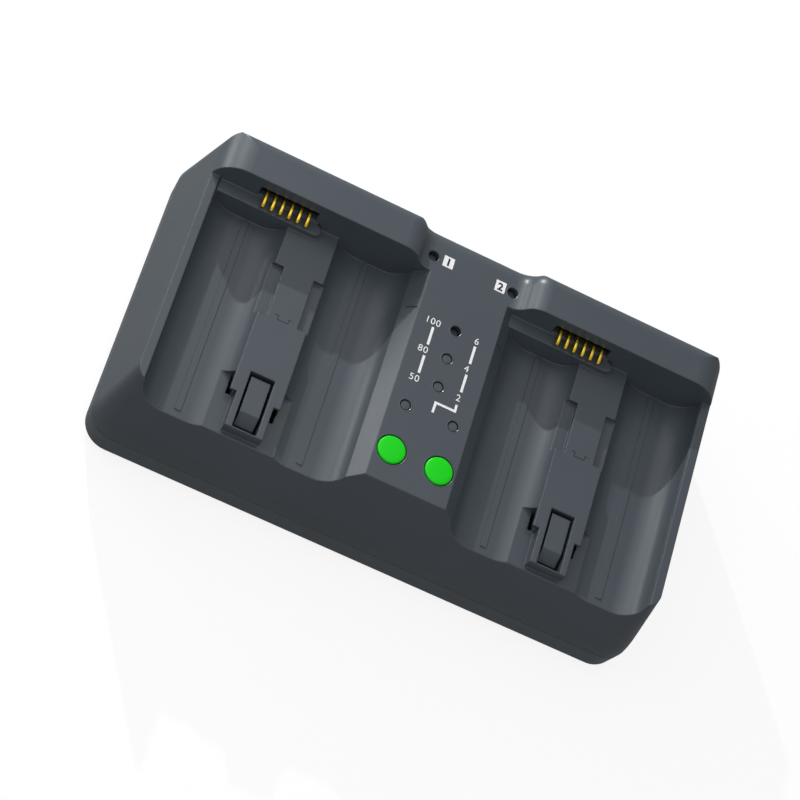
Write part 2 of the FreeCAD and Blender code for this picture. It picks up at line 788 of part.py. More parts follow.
def cut_bay(outer, sign, tag):
    """The rail's notches, window and side recesses, the contact slit, ledge and ribs of one bay."""
    middle = "(%d * bay_middle)" % sign
    above_rail = "rail_height + 1"
    through_floor = "%s - floor_height + case_wall + 6" % above_rail
    ahead = "-case_depth / 2 - 1"

    notches = sketch_on(outer, "notches_" + tag, "XY_Plane", "notch_height")
    for side in (-1, 1):
        rectangle(notches, "%s + %d * notch_inner" % (middle, side), "notch_front",
                  "%s + %d * trough_start" % (middle, side), "notch_rear")
    pocket(outer, notches, above_rail + " - notch_height", reverse=True)

    # beside the catch the rail steps in twice and its curved flank gives way to a level recess
    recess = sketch_on(outer, "recess_" + tag, "XY_Plane", "landing_height")
    for side in (-1, 1):
        flank = "%s + %d * (rail_half + rail_draft)" % (middle, side)
        outer_edge = "%s + %d * landing_half" % (middle, side)
        nose = "%s + %d * rail_nose_half" % (middle, side)
        outline(recess, [
            (nose, ahead), (outer_edge, ahead), (outer_edge, "recess_rear"),
            (flank, "recess_rear"), (flank, "rail_nose_rear"), (nose, "rail_nose_rear"),
        ])
    pocket(outer, recess, above_rail + " - landing_height", reverse=True)

    undercut = sketch_on(outer, "undercut_" + tag, "XY_Plane", "rail_height - undercut_skin")
    for side in (-1, 1):
        rectangle(undercut, "%s + %d * (rail_half - undercut_depth)" % (middle, side), "rail_nose_rear",
                  "%s + %d * (rail_half + rail_draft + 0.1)" % (middle, side), "recess_rear")
    pocket(outer, undercut, "rail_rise - undercut_skin + case_wall + 1")

    landing = sketch_on(outer, "landing_" + tag, "XY_Plane", "landing_height")
    rectangle(landing, "%s - landing_half" % middle, ahead, "%s + landing_half" % middle, "landing_rear")
    pocket(outer, landing, above_rail + " - landing_height", reverse=True)

    window = sketch_on(outer, "window_" + tag, "XY_Plane", above_rail)
    rectangle(window, "%s - window_half" % middle, "window_front",
              "%s + window_half" % middle, "window_rear")
    root = "%s + hook_hole_root" % middle
    rectangle(window, root, "hook_hole_rear - hook_hole_length", root + " + hook_hole_width", "hook_hole_rear")
    pocket(outer, window, through_floor)

    # the ledge under the contacts runs from the bay's left side to a round end near the middle
    ledge_face = "(%s - ledge_reach)" % block_face_at("ledge_height")
    ledge_length = "(bay_half + ledge_root + ledge_end)"
    ledge = sketch_on(outer, "ledge_" + tag, "YZ_Plane", "%s - bay_half - ledge_root" % middle)
    outline(ledge, [
        ("block_foot - ledge_reach", "floor_height - 0.5"),
        ("block_foot + 1", "floor_height - 0.5"),
        ("%s + 0.5" % block_face_at("ledge_height"), "ledge_height"),
        (ledge_face, "ledge_height"),
        ("block_foot - ledge_reach", "floor_height"),
    ])
    pad(outer, ledge, ledge_length)
    ledge_tip = sketch_on(outer, "ledge_tip_" + tag, "XY_Plane", "ledge_height")
    disc(ledge_tip, "%s + ledge_end" % middle, ledge_face + " + ledge_end_radius", "ledge_end_radius")
    pad(outer, ledge_tip, "ledge_height - floor_height + 0.5", reverse=True, taper="block_lean")

    tick = sketch_on(outer, "tick_" + tag, "XZ_Plane", "tick_width / 2 - tick_place")
    run = "(console_half + tick_start)"
    slope = "((console_height - shoulder_foot) / shoulder_run)"
    upper = "console_height - tick_start * %s - tick_depth" % slope
    lower = "%s - tick_run * %s" % (upper, slope)
    outline(tick, [
        ("%d * %s" % (sign, run), upper),
        ("%d * (%s + tick_run)" % (sign, run), lower),
        ("%d * (%s + tick_run)" % (sign, run), "block_height"),
        ("%d * %s" % (sign, run), "block_height"),
    ])
    pocket(outer, tick, "tick_width")

    start = "block_foot - 3"
    slit = sketch_on(outer, "contact_slit_" + tag, "XZ_Plane", "-(%s)" % start)
    centre = "%s + contact_offset" % middle
    rectangle(slit, centre + " - slit_length / 2", "slit_low", centre + " + slit_length / 2", "slit_high")
    pocket(outer, slit, "%s - (%s) + case_wall + 2" % (block_face_at("slit_high"), start))

    ribs = sketch_on(outer, "ribs_" + tag, "XZ_Plane", "-rib_front")
    for side in (-1, 1):
        edge = "%s + %d * rib_offset" % (middle, side)
        rectangle(ribs, edge + " - rib_width / 2", "floor_height - case_wall / 2",
                  edge + " + rib_width / 2", "floor_height + rib_rise")
    pad(outer, ribs, "block_foot - rib_front + 0.5", reverse=True)

    bores = sketch_on(outer, "pin_bores_" + tag, "YZ_Plane", middle)
    disc(bores, "latch_pin_place", "latch_pin_height", "latch_pin_radius + 0.01")
    pocket(outer, bores, "2 * (window_half + latch_pin_grip)", both=True)


def build_upper_case():
    """The moulded upper case: bays, rails, console and rear blocks, hollow below."""
    outer = case_form("outer", "0", outer_bay)
    round_dip(outer)
    for sign, tag in SIDES:
        cut_bay(outer, sign, tag)

    # round holes through the console
    holes = sketch_on(outer, "light_holes", "XY_Plane", "block_height + 1")
    for x, y in light_places():
        disc(holes, x, y, "lens_radius + lens_gap")
    for sign, tag in SIDES:
        disc(holes, "%d * key_offset" % sign, "key_place", "key_radius + key_gap")
    pocket(outer, holes, "block_height + 1 - upper_board_height")

    hollow = case_form("hollow", "case_wall", inner_bay)

    # room for the key flanges, and the opening for the mains inlet
    ceiling = "console_height - case_wall"
    flange_rooms = [
        rod("flange_room_" + tag, "key_radius + key_rim + 0.3", ceiling + " - upper_board_height",
            "%d * key_offset" % sign, "key_place", "upper_board_height")
        for sign, tag in SIDES]
    inlet_hole = box("inlet_hole",
                     ("inlet_width + 2 * inlet_fit", "case_depth / 2", "inlet_tall + 2 * inlet_fit"),
                     "0", "case_depth / 2", "inlet_low - inlet_fit")
    seam_room = box("seam_room", ("case_width + 2", "case_depth + 2", "seam_gap + seam_height"),
                    "0", "0", "0")
    shell = cut("shell", outer, [hollow] + flange_rooms + [inlet_hole, seam_room])

    posts = []
    for i, (x, y) in enumerate(post_places()):
        rise = "(floor_height - case_wall * 0.75 - seam_height)"
        posts.append(rod("upper_post_%d" % i, "post_radius", rise, x, y, "seam_height"))
        # the web ends inside the leaning side wall
        reach = "(%s - case_wall / 2 - post_x)" % side_at("seam_height + " + rise)
        posts.append(box("post_web_%d" % i, (reach, "web_thick", rise + " - web_start"),
                         "(%s) / post_x * (post_x + %s / 2)" % (x, reach), y, "seam_height + web_start"))
    for tag in ("front", "rear"):
        posts.append(rod("hanger_post_" + tag, "hanger_radius", ceiling + " + case_wall / 4 - upper_board_top",
                         "0", "hanger_" + tag, "upper_board_top"))
    joined = fuse("shell_with_posts", [shell] + posts)
    bore_depth = "screw_head_sink + screw_head_tall + screw_length - seam_height"
    screw_bores = [rod("screw_bore_%d" % i, "screw_radius - screw_fit", bore_depth, x, y, "seam_height - 0.5")
                   for i, (x, y) in enumerate(post_places())]
    return keep(cut("upper_case_solid", joined, screw_bores), "upper_case")


def light_places():
    """Middles of the lights: three level lights, two status lights, two bay lights."""
    level = [("0", "level_place + %d * level_pitch" % i) for i in (1, 0, -1)]
    status = [("%d * status_offset" % s, "status_place") for s in (-1, 1)]
    bay = [("%d * bay_light_offset" % s, "bay_light_place") for s in (-1, 1)]
    return level + status + bay


LIGHT_NAMES = [
    "level_high", "level_middle", "level_low", "status_left", "status_right", "bay_left", "bay_right"]
DEEP_LIGHTS = ("level_high", "bay_left", "bay_right")


def post_places():
    return [("%d * post_x" % i, "%d * post_y" % j) for i in (-1, 1) for j in (-1, 1)]


def foot_places():
    return [("%d * foot_x" % i, "%d * foot_y" % j) for i in (-1, 1) for j in (-1, 1)]


def rounded_plan(sketch, half_x, half_y, radius):
    """A rectangle with round corners, centred."""
    x, y, r = "(%s)" % half_x, "(%s)" % half_y, "(%s)" % radius
    inner_x, inner_y = "(%s - %s)" % (x, r), "(%s - %s)" % (y, r)
    corners = [
        ("-" + inner_x, "-" + y), (inner_x, "-" + y), (x, "-" + inner_y), (x, inner_y),
        (inner_x, y), ("-" + inner_x, y), ("-" + x, inner_y), ("-" + x, "-" + inner_y),
    ]
    return outline(sketch, corners, {i: (radius, 1) for i in (1, 3, 5, 7)})


def build_lower_case():
    """The tray that closes the case, with board bosses, screw posts and foot recesses."""
    body = new_body("lower_case")
    rim = sketch_on(body, "rim", "XY_Plane", "seam_height")
    rounded_plan(rim, "case_width / 2", "case_depth / 2", "corner_radius")
    pad(body, rim, "seam_height", reverse=True, taper="-base_draft")
    chamfer(body, "base_edge", lambda edge: edge.BoundBox.ZMax < 0.01)

    room = sketch_on(body, "room", "XY_Plane", "seam_height")
    inset = "case_wall - rim_step"
    rounded_plan(room, "case_width / 2 - " + inset, "case_depth / 2 - " + inset, "corner_radius - case_wall")
    pocket(body, room, "seam_height - case_wall")

    posts = sketch_on(body, "posts", "XY_Plane", "case_wall / 2")
    for x, y in post_places():
        disc(posts, x, y, "post_radius")
    pad(body, posts, "seam_height - case_wall / 2")
    bosses = sketch_on(body, "bosses", "XY_Plane", "case_wall / 2")
    for x, y in board_boss_places():
        disc(bosses, x, y, "boss_radius")
    pad(body, bosses, "board_height - case_wall / 2")

    bores = sketch_on(body, "screw_holes", "XY_Plane", "seam_height + 1")
    for x, y in post_places():
        disc(bores, x, y, "screw_radius + 0.15")
    pocket(body, bores)
    heads = sketch_on(body, "screw_heads", "XY_Plane", "0")
    for x, y in post_places():
        disc(heads, x, y, "screw_head_radius + 0.3")
    pocket(body, heads, "screw_head_sink + screw_head_tall", reverse=True)
    recesses = sketch_on(body, "foot_recesses", "XY_Plane", "0")
    for x, y in foot_places():
        disc(recesses, x, y, "foot_radius + foot_fit")
    pocket(body, recesses, "foot_sink", reverse=True)
    return keep(body, "lower_case")


def board_boss_places():
    return [("%d * board_width * 0.45" % i, "%d * board_depth * 0.4" % j) for i in (-1, 0, 1) for j in (-1, 1)]


def build_feet_and_screws():
    for (x, y), tag in zip(foot_places(), ("front_left", "rear_left", "front_right", "rear_right")):
        foot = DOC.addObject("Part::Cone", "foot_" + tag)
        bind(foot, Radius1="foot_radius - foot_draft", Radius2="foot_radius", Height="foot_sink + foot_proud")
        keep(place(foot, x, y, "-foot_proud"), "rubber_foot_" + tag)
    screws = []
    for i, (x, y) in enumerate(post_places()):
        head = rod("head_%d" % i, "screw_head_radius", "screw_head_tall", x, y, "screw_head_sink")
        shank = rod("shank_%d" % i, "screw_radius - screw_fit", "screw_length - screw_head_tall", x, y,
                    "screw_head_sink + screw_head_tall")
        slots = [box("drive_%d_%d" % (i, j), (wide, deep, "screw_drive_depth"), x, y, "screw_head_sink")
                 for j, (wide, deep) in enumerate((("screw_drive", "screw_drive_width"),
                                                   ("screw_drive_width", "screw_drive")))]
        screws.append(cut("screw_%d" % i, fuse("joined_screw_%d" % i, [head, shank]), slots))
    keep(group("case_screw_set", screws), "case_screws")


def build_keys():
    """The two round push keys, their plungers and the switches under them."""
    for sign, tag in SIDES:
        x = "%d * key_offset" % sign
        crown = "(key_rise * 0.28)"
        crown_half = "(key_radius - key_edge)"
        crown_radius = "((%s ^ 2 + %s ^ 2) / (2 * %s))" % (crown_half, crown, crown)
        body = new_body(tag + "_key")
        profile = sketch_on(body, tag + "_key_profile", "XZ_Plane")
        outline(profile, [
            ("0", "stem_low"),
            ("key_stem", "stem_low"),
            ("key_stem", "key_under - key_flange"),
            ("key_radius + key_rim", "key_under - key_flange"),
            ("key_radius + key_rim", "key_under"),
            ("key_radius", "key_under"),
            ("key_radius", "console_height + key_rise * 0.25"),
            (crown_half, "console_height + key_rise - " + crown),
            ("0", "console_height + key_rise"),
        ], {6: ("key_edge + 0.2", 1), 7: (crown_radius, 1)})
        turn = body.newObject("PartDesign::Revolution", tag + "_key_turn")
        turn.Profile = profile
        turn.ReferenceAxis = (profile, ["V_Axis"])
        turn.Angle = 360
        DOC.recompute()
        keep(place(body, x, "key_place", "0"), tag + "_key")
        plunger = rod(tag + "_plunger", "plunger_radius", "stem_low - switch_top + plunger_sink",
                      x, "key_place", "switch_top - plunger_sink")
        keep(plunger, tag + "_switch_plunger")
        housing = box(tag + "_housing", ("switch_width", "switch_width", "switch_tall"), x, "key_place",
                      "upper_board_top")
        well_depth = "(plunger_sink + key_travel + 0.3)"
        well = rod(tag + "_well", "plunger_radius + 0.06", well_depth + " + 1", x, "key_place",
                   "switch_top - " + well_depth)
        keep(cut(tag + "_switch_solid", housing, [well]), tag + "_switch")


def build_lights():
    """A clear lens in each round hole and a small diode on the board under it."""
    start = "(upper_board_top + diode_tall + 0.1)"
    for name, (x, y) in zip(LIGHT_NAMES, light_places()):
        recess = "lens_deep_recess" if name in DEEP_LIGHTS else "lens_recess"
        stem = rod(name + "_stem", "lens_radius", "console_height - %s - %s" % (recess, start), x, y, start)
        collar = rod(name + "_collar", "lens_radius + lens_collar", "lens_collar_tall", x, y,
                     "console_height - case_wall - lens_gap - lens_collar_tall")
        keep(fuse(name + "_lens_solid", [stem, collar]), name + "_lens")
        keep(box(name + "_diode_body", ("diode_width", "diode_width", "diode_tall"), x, y, "upper_board_top"),
             name + "_diode")


def build_contacts():
    """Six sprung blades in each block, held in a black carrier behind the slit."""
    head_low = "(slit_low - case_wall / 2)"
    head_top = "(block_height - case_wall - carrier_fit)"
    front = "(%s + case_wall + carrier_fit)" % block_face_at(head_top)
    for sign, tag in SIDES:
        middle = "(%d * bay_middle + contact_offset)" % sign
        head = box(tag + "_carrier_head", ("slit_length + 2 * carrier_margin", "carrier_thick",
                                           "%s - %s" % (head_top, head_low)),
                   middle, front + " + carrier_thick / 2", head_low)
        leg = box(tag + "_carrier_leg", ("slit_length", "carrier_leg", head_low + " + 1 - board_top"),
                  middle, front + " + carrier_leg / 2", "board_top")
        slits = []
        blades = []
        rear = "(%s + carrier_thick + blade_tail)" % front
        for i in range(BLADE_COUNT):
            x = "%s + %g * contact_pitch" % (middle, i - (BLADE_COUNT - 1) / 2)
            slits.append(box("%s_blade_slit_%d" % (tag, i),
                             ("blade_thickness + 2 * blade_fit", "2 * carrier_thick + 4",
                              "blade_high - blade_low + 2 * blade_fit"),
                             x, front + " + carrier_thick / 2", "blade_low - blade_fit"))
            body = new_body("%s_blade_%d" % (tag, i))
            side = sketch_on(body, "%s_blade_side_%d" % (tag, i), "YZ_Plane")
            outline(side, [
                ("blade_front", "blade_low + 0.5"),
                ("blade_front + 0.5", "blade_low"),
                (rear, "blade_low"),
                (rear, "blade_high"),
                ("blade_front + 2.6", "blade_high"),
                ("blade_front", "blade_low + 1.2"),
            ], {0: ("0.55", 1), 4: ("6", 1)})
            pad(body, side, "blade_thickness", both=True)
            blades.append(place(body, x, "0", "0"))
        carrier = fuse(tag + "_carrier_block", [head, leg])
        keep(cut(tag + "_carrier_solid", carrier, slits), tag + "_contact_carrier")
        keep(group(tag + "_blade_set", blades), tag + "_contact_blades")


def build_latches():
    """A sprung catch in each rail: a lever with a front ramp on a cross pin at its rear end."""
    for sign, tag in SIDES:
        middle = "(%d * bay_middle)" % sign
        body = new_body(tag + "_lever")
        side = sketch_on(body, tag + "_lever_side", "YZ_Plane")
        outline(side, [
            ("latch_pin_place + latch_eye", "latch_pin_height"),
            ("latch_pin_place + 1", "latch_top"),
            ("latch_crease", "latch_top"),
            ("latch_nose", "latch_nose_height"),
            ("latch_nose", "latch_nose_height - latch_thick"),
            ("latch_nose + 1.2", "latch_nose_height - latch_thick"),
            ("latch_crease + 1.2", "latch_top - latch_thick"),
            ("latch_pin_place - latch_eye - 0.5", "latch_top - latch_thick"),
            ("latch_pin_place - latch_eye", "latch_pin_height"),
        ], {8: ("latch_eye * 1.03", 1)})
        pad(body, side, "latch_width", both=True)
        spring_room = sketch_on(body, tag + "_spring_room", "YZ_Plane")
        spring_radius = "(latch_pin_radius + 0.05 + spring_wire)"
        rectangle(spring_room, "latch_pin_place - latch_eye - 0.6", "latch_pin_height - latch_eye - 0.1",
                  "latch_pin_place + latch_eye + 0.1", "latch_pin_height + %s + 0.1" % spring_radius)
        pocket(body, spring_room, "spring_width + 0.4", both=True)
        bore = sketch_on(body, tag + "_lever_bore", "YZ_Plane")
        disc(bore, "latch_pin_place", "latch_pin_height", "latch_pin_radius + latch_pin_fit")
        pocket(body, bore, "latch_width + 2", both=True)
        keep(place(body, middle, "0", "0"), tag + "_latch_lever")
        length = "(2 * (window_half + latch_pin_grip - 0.1))"
        pin = rod(tag + "_pin", "latch_pin_radius", length, "%s - %s / 2" % (middle, length),
                  "latch_pin_place", "latch_pin_height", axis=(1, 0, 0))
        keep(pin, tag + "_latch_pin")
        coil = rod(tag + "_coil", spring_radius, "spring_width", "%s - spring_width / 2" % middle,
                   "latch_pin_place", "latch_pin_height", axis=(1, 0, 0))
        core = rod(tag + "_coil_core", "latch_pin_radius + 0.05", "spring_width + 1",
                   "%s - (spring_width + 1) / 2" % middle, "latch_pin_place", "latch_pin_height",
                   axis=(1, 0, 0))
        keep(cut(tag + "_coil_ring", coil, [core]), tag + "_latch_spring")


def build_boards():
    """The main board on the tray's bosses, the console's board and the riser between them."""
    keep(box("main_board_panel", ("board_width", "board_depth", "board_thick"), "0", "0", "board_height"),
         "main_board")
    stem_rear = "(bay_light_place - upper_board_head_depth / 2 + 0.5)"
    stem = box("upper_board_stem", ("upper_board_width", "%s - upper_board_front" % stem_rear, "board_thick"),
               "0", "(%s + upper_board_front) / 2" % stem_rear, "upper_board_height")
    head = box("upper_board_head_panel", ("upper_board_head", "upper_board_head_depth", "board_thick"),
               "0", "bay_light_place", "upper_board_height")
    keep(fuse("upper_board_panel", [stem, head]), "console_board")
    keep(box("riser_panel", ("riser_width", "board_thick", "upper_board_height - board_top"),
             "0", "riser_place", "board_top"), "riser_board")


def build_mains_inlet():
    """A two-pin figure-of-eight inlet standing on the main board behind the rear wall."""
    face = "(%s - inlet_sink)" % rear_at("inlet_height")
    rear = "(%s - inlet_depth)" % face
    floor = "(%s - well_depth)" % face
    shell = box("inlet_shell", ("inlet_width", "inlet_depth", "inlet_tall"), "0",
                face + " - inlet_depth / 2", "inlet_low")
    stand = box("inlet_stand", ("inlet_width", "inlet_stand_depth", "inlet_stand_tall + 1"),
                "0", rear + " + inlet_stand_depth / 2", "board_top")
    waist = box("inlet_waist", ("2 * inlet_pin_offset", "well_depth + 1", "well_waist"), "0",
                floor + " + (well_depth + 1) / 2", "inlet_height - well_waist / 2")
    tools = [waist]
    pins = []
    for sign, tag in SIDES:
        x = "%d * inlet_pin_offset" % sign
        tools.append(rod("inlet_well_" + tag, "well_radius", "well_depth + 1", x, floor, "inlet_height",
                         axis=(0, 1, 0)))
        tools.append(rod("inlet_bore_" + tag, "inlet_pin_radius + 0.02", "inlet_depth", x, rear + " - 1",
                         "inlet_height", axis=(0, 1, 0)))
        start = "(%s - inlet_pin_tail)" % rear
        pins.append(rod("inlet_pin_" + tag, "inlet_pin_radius", face + " - inlet_pin_sink - " + start,
                        x, start, "inlet_height", axis=(0, 1, 0)))
    keep(cut("inlet_solid", fuse("inlet_block", [shell, stand]), tools), "mains_inlet")
    keep(group("inlet_pin_set", pins), "inlet_pins")


def build_transformer():
    """A ferrite core with a middle limb, and the winding round that limb."""
    x, y = "board_left + core_side", "board_front + core_run"
    window_wide = "(core_width - 2 * core_leg)"
    window_tall = "(core_tall - 2 * core_yoke)"
    frame = box("core_frame", ("core_width", "core_depth", "core_tall"), x, y, "board_top")
    hole = box("core_hole", (window_wide, "core_depth + 2", window_tall), x, y, "board_top + core_yoke")
    limb = box("core_limb_block", ("core_limb", "core_depth", window_tall + " + 1"), x, y,
               "board_top + core_yoke - 0.5")
    keep(fuse("core_solid", [cut("core_shell", frame, [hole]), limb]), "transformer_core")
    coil = box("winding_block", (window_wide + " - 2 * winding_gap", "core_depth + 2 * winding_bulge",
                                 window_tall + " - 2 * winding_gap"),
               x, y, "board_top + core_yoke + winding_gap")
    limb_room = box("limb_room", ("core_limb + winding_gap", "core_depth + winding_gap", "core_tall"),
                    x, y, "board_top")
    keep(cut("winding_solid", coil, [limb_room]), "transformer_winding")


def wound_ring():
    """The outside of a ring core's winding: a ring of square section whose edges the wire cuts off."""
    body = new_body("choke_ring_body")
    profile = sketch_on(body, "choke_section", "XZ_Plane")
    near, far = "(choke_radius - choke_ring)", "(choke_radius + choke_ring)"
    outline(profile, [
        (near, "choke_edge"), (near + " + choke_edge", "0"), (far + " - choke_edge", "0"), (far, "choke_edge"),
        (far, "2 * choke_ring - choke_edge"), (far + " - choke_edge", "2 * choke_ring"),
        (near + " + choke_edge", "2 * choke_ring"), (near, "2 * choke_ring - choke_edge"),
    ])
    turn = body.newObject("PartDesign::Revolution", "choke_turn")
    turn.Profile = profile
    turn.ReferenceAxis = (profile, ["V_Axis"])
    turn.Angle = 360
    DOC.recompute()
    return body


def build_power_parts():
    """What else stands on the main board under the bays."""
    keep(rod("bulk_can", "bulk_radius", "bulk_tall", "board_right - bulk_side", "board_rear - bulk_end",
             "board_top"), "bulk_capacitor")
    for sign, tag in ((-1, "front"), (1, "rear")):
        keep(rod("output_can_" + tag, "output_radius", "output_tall", "board_left + output_side",
                 "board_front + output_run + %d * output_pitch / 2" % sign, "board_top"),
             "output_capacitor_" + tag)
    keep(place(wound_ring(), "board_right - choke_side", "board_rear - choke_end", "board_top"), "mains_choke")
    keep(rod("fuse_tube", "fuse_radius", "fuse_length", "board_right - fuse_side - fuse_length / 2",
             "board_front + fuse_run", "board_top + fuse_radius", axis=(1, 0, 0)), "mains_fuse")
    keep(box("rectifier_block", ("rectifier_width", "rectifier_thick", "rectifier_tall"),
             "board_right - rectifier_side", "board_front + rectifier_run", "board_top"), "bridge_rectifier")


def build_heat_sink():
    """A finned plate with the power transistor clamped flat against its rear."""
    x, y = "(board_left + sink_side)", "board_front + sink_run"
    plate = box("sink_plate_block", ("sink_width", "sink_plate", "sink_tall"), x, y, "board_top")
    pitch = "((sink_width - fin_thick) / %d)" % (FIN_COUNT - 1)
    root = 0.5
    fins = []
    for i in range(FIN_COUNT):
        fins.append(box("sink_fin_%d" % i, ("fin_thick", "fin_reach + %g" % root, "sink_tall"),
                        "%s - (sink_width - fin_thick) / 2 + %d * %s" % (x, i, pitch),
                        "%s - sink_plate / 2 - fin_reach / 2 + %g" % (y, root / 2), "board_top"))
    keep(fuse("sink_solid", [plate] + fins), "heat_sink")
    keep(box("transistor_block", ("transistor_width", "transistor_thick", "transistor_tall"), x,
             y + " + (sink_plate + transistor_thick) / 2", "board_top"), "power_transistor")


def check_and_write():
    """Stops on any failed object or shape, then writes every sub-part."""
    DOC.recompute()
    for thing in DOC.Objects:
        if "Invalid" in thing.State or "Error" in thing.State:
            raise RuntimeError("%s is %s" % (thing.Name, thing.State))
    os.makedirs("parts", exist_ok=True)
    for thing in NODES:
        shape = thing.Shape
        if shape.isNull() or not shape.isValid():
            raise RuntimeError("%s has no valid shape" % thing.Label)
    for thing in NODES:
        thing.Shape.exportStep("parts/%s.step" % thing.Label)
        bounds = thing.Shape.BoundBox
        print("%-26s solids %d  volume %9.1f  x %7.2f %7.2f  y %7.2f %7.2f  z %6.2f %6.2f" % (
            thing.Label, len(thing.Shape.Solids), thing.Shape.Volume, bounds.XMin, bounds.XMax,
            bounds.YMin, bounds.YMax, bounds.ZMin, bounds.ZMax))


build_lower_case()
build_upper_case()
build_feet_and_screws()
build_keys()
build_lights()
build_contacts()
build_latches()
build_boards()
build_mains_inlet()
build_transformer()
build_power_parts()
build_heat_sink()
check_and_write()
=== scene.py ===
# %% [markdown]
# # A two-bay charger for camera batteries
# The real object is a desk charger about 161 mm wide. A moulded case of dark blue-grey ABS holds two
# bays for batteries. Between them lies a flat console with two green push keys, seven small lights and
# a white printed scale, and at the rear of each bay six gold contact blades look out of a slit.
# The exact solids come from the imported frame. This notebook gives them their finishes, makes what is
# printed, turned or pressed too finely for the solids, and sets up a small photo studio around them.

# %% Load the frame
import math
import bmesh
import bpy
from mathutils import Matrix, Vector


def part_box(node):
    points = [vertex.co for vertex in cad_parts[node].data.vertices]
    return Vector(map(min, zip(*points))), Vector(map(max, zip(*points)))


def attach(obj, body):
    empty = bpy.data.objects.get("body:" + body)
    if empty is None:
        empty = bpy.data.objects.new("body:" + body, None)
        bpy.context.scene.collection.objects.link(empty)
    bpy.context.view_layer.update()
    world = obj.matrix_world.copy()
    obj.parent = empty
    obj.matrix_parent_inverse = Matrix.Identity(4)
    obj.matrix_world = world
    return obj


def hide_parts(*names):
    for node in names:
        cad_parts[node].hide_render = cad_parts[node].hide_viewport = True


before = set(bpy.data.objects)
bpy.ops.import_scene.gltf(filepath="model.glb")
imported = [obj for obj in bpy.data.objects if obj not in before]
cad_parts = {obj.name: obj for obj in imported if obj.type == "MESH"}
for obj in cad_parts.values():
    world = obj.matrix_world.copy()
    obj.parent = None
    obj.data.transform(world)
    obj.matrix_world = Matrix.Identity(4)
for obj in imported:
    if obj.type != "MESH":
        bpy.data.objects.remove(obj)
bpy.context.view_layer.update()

MM = 0.001
SIDES = ("left", "right")

# %% [markdown]
# ## Colours and nodes
# Colours are written as the hex values that a paint chart or a photo editor would show. Those are
# display values, and Blender's shaders work in linear light, so one function does the change.
# A second small function adds a node with its settings and plugs in its inputs. An input is either a
# value or the output of another node, so a whole material reads as a list of steps. Many finishes
# vary between two values with a noise. A noise stays mostly between 0.3 and 0.7, so that stretch is
# mapped onto the wanted range.

# %% Helpers for every material
NOISE_REACH = {"From Min": 0.3, "From Max": 0.7}


def linear(hex_colour, alpha=1.0):
    """The linear colour behind a display value such as 50585F."""
    parts = [int(hex_colour[i:i + 2], 16) / 255 for i in (0, 2, 4)]
    return [c / 12.92 if c <= 0.04045 else ((c + 0.055) / 1.055) ** 2.4 for c in parts] + [alpha]


def two_tone(colour, cloud, low=0.3, high=0.7):
    """The stops of a colour ramp that runs from one display colour to another."""
    return [(low, linear(colour)), (high, linear(cloud))]


def add(tree, kind, inputs=None, stops=None, **settings):
    """Adds a node. inputs maps a socket's name or number to a value or to another node's output,
    and stops are the (place, colour) pairs of a colour ramp."""
    node = tree.nodes.new(kind)
    for setting, value in settings.items():
        setattr(node, setting, value)
    for socket, value in (inputs or {}).items():
        if isinstance(value, bpy.types.NodeSocket):
            tree.links.new(value, node.inputs[socket])
        else:
            node.inputs[socket].default_value = value
    if stops:
        for element, (place, colour) in zip(node.color_ramp.elements, stops):
            element.position, element.color = place, colour
    return node


def per_mm(size):
    """The scale of a pattern whose marks are that many millimetres apart."""
    return 1 / (size * MM)


print("dark case grey in linear light:", [round(c, 3) for c in linear("50585F")[:3]])

# %% [markdown]
# ## How a material begins and ends
# A material begins with an empty tree and the object's own coordinates, so a pattern stays where it is
# when a piece moves. In many, one noise then varies both colour and gloss. A material ends with a fine
# bump and the Principled shader. The bump can stand on edges that a bevel node rounds for the light.

# %% Begin, vary and end a material
def new_material(name):
    """An empty material, its tree, and the object's own coordinates in metres."""
    material = bpy.data.materials.new(name)
    material.use_nodes = True
    tree = material.node_tree
    tree.nodes.clear()
    return material, tree, add(tree, "ShaderNodeTexCoord").outputs["Object"]


def vary(tree, place, size_mm, detail, tones, roughness):
    """A noise, with the colour and the roughness that it varies. tones are stops of a ramp."""
    noise = add(tree, "ShaderNodeTexNoise", {"Vector": place, "Scale": per_mm(size_mm), "Detail": detail})
    tint = add(tree, "ShaderNodeValToRGB", {"Fac": noise.outputs["Fac"]}, tones)
    rough = add(tree, "ShaderNodeMapRange", {**NOISE_REACH, "Value": noise.outputs["Fac"],
                                             "To Min": roughness[0], "To Max": roughness[1]})
    return noise.outputs["Fac"], tint.outputs["Color"], rough.outputs["Result"]


def skin(tree, height, strength, depth_mm, edge_mm=0):
    """The normal of a surface with a bump of that depth, on edges rounded by edge_mm."""
    inputs = {"Height": height, "Strength": strength, "Distance": depth_mm * MM}
    if edge_mm:
        edge = add(tree, "ShaderNodeBevel", {"Radius": edge_mm * MM}, samples=8)
        inputs["Normal"] = edge.outputs["Normal"]
    return add(tree, "ShaderNodeBump", inputs).outputs["Normal"]


def shade(tree, colour, roughness, normal, extra=None):
    """Ends a material: these, and any extra inputs, go into the shader and on to the output."""
    inputs = {"Base Color": colour, "Roughness": roughness, "Normal": normal, **(extra or {})}
    shader = add(tree, "ShaderNodeBsdfPrincipled", inputs)
    add(tree, "ShaderNodeOutputMaterial", {"Surface": shader.outputs["BSDF"]})


print("one noise mark every 24 mm is a scale of", round(per_mm(24), 1), "per metre")

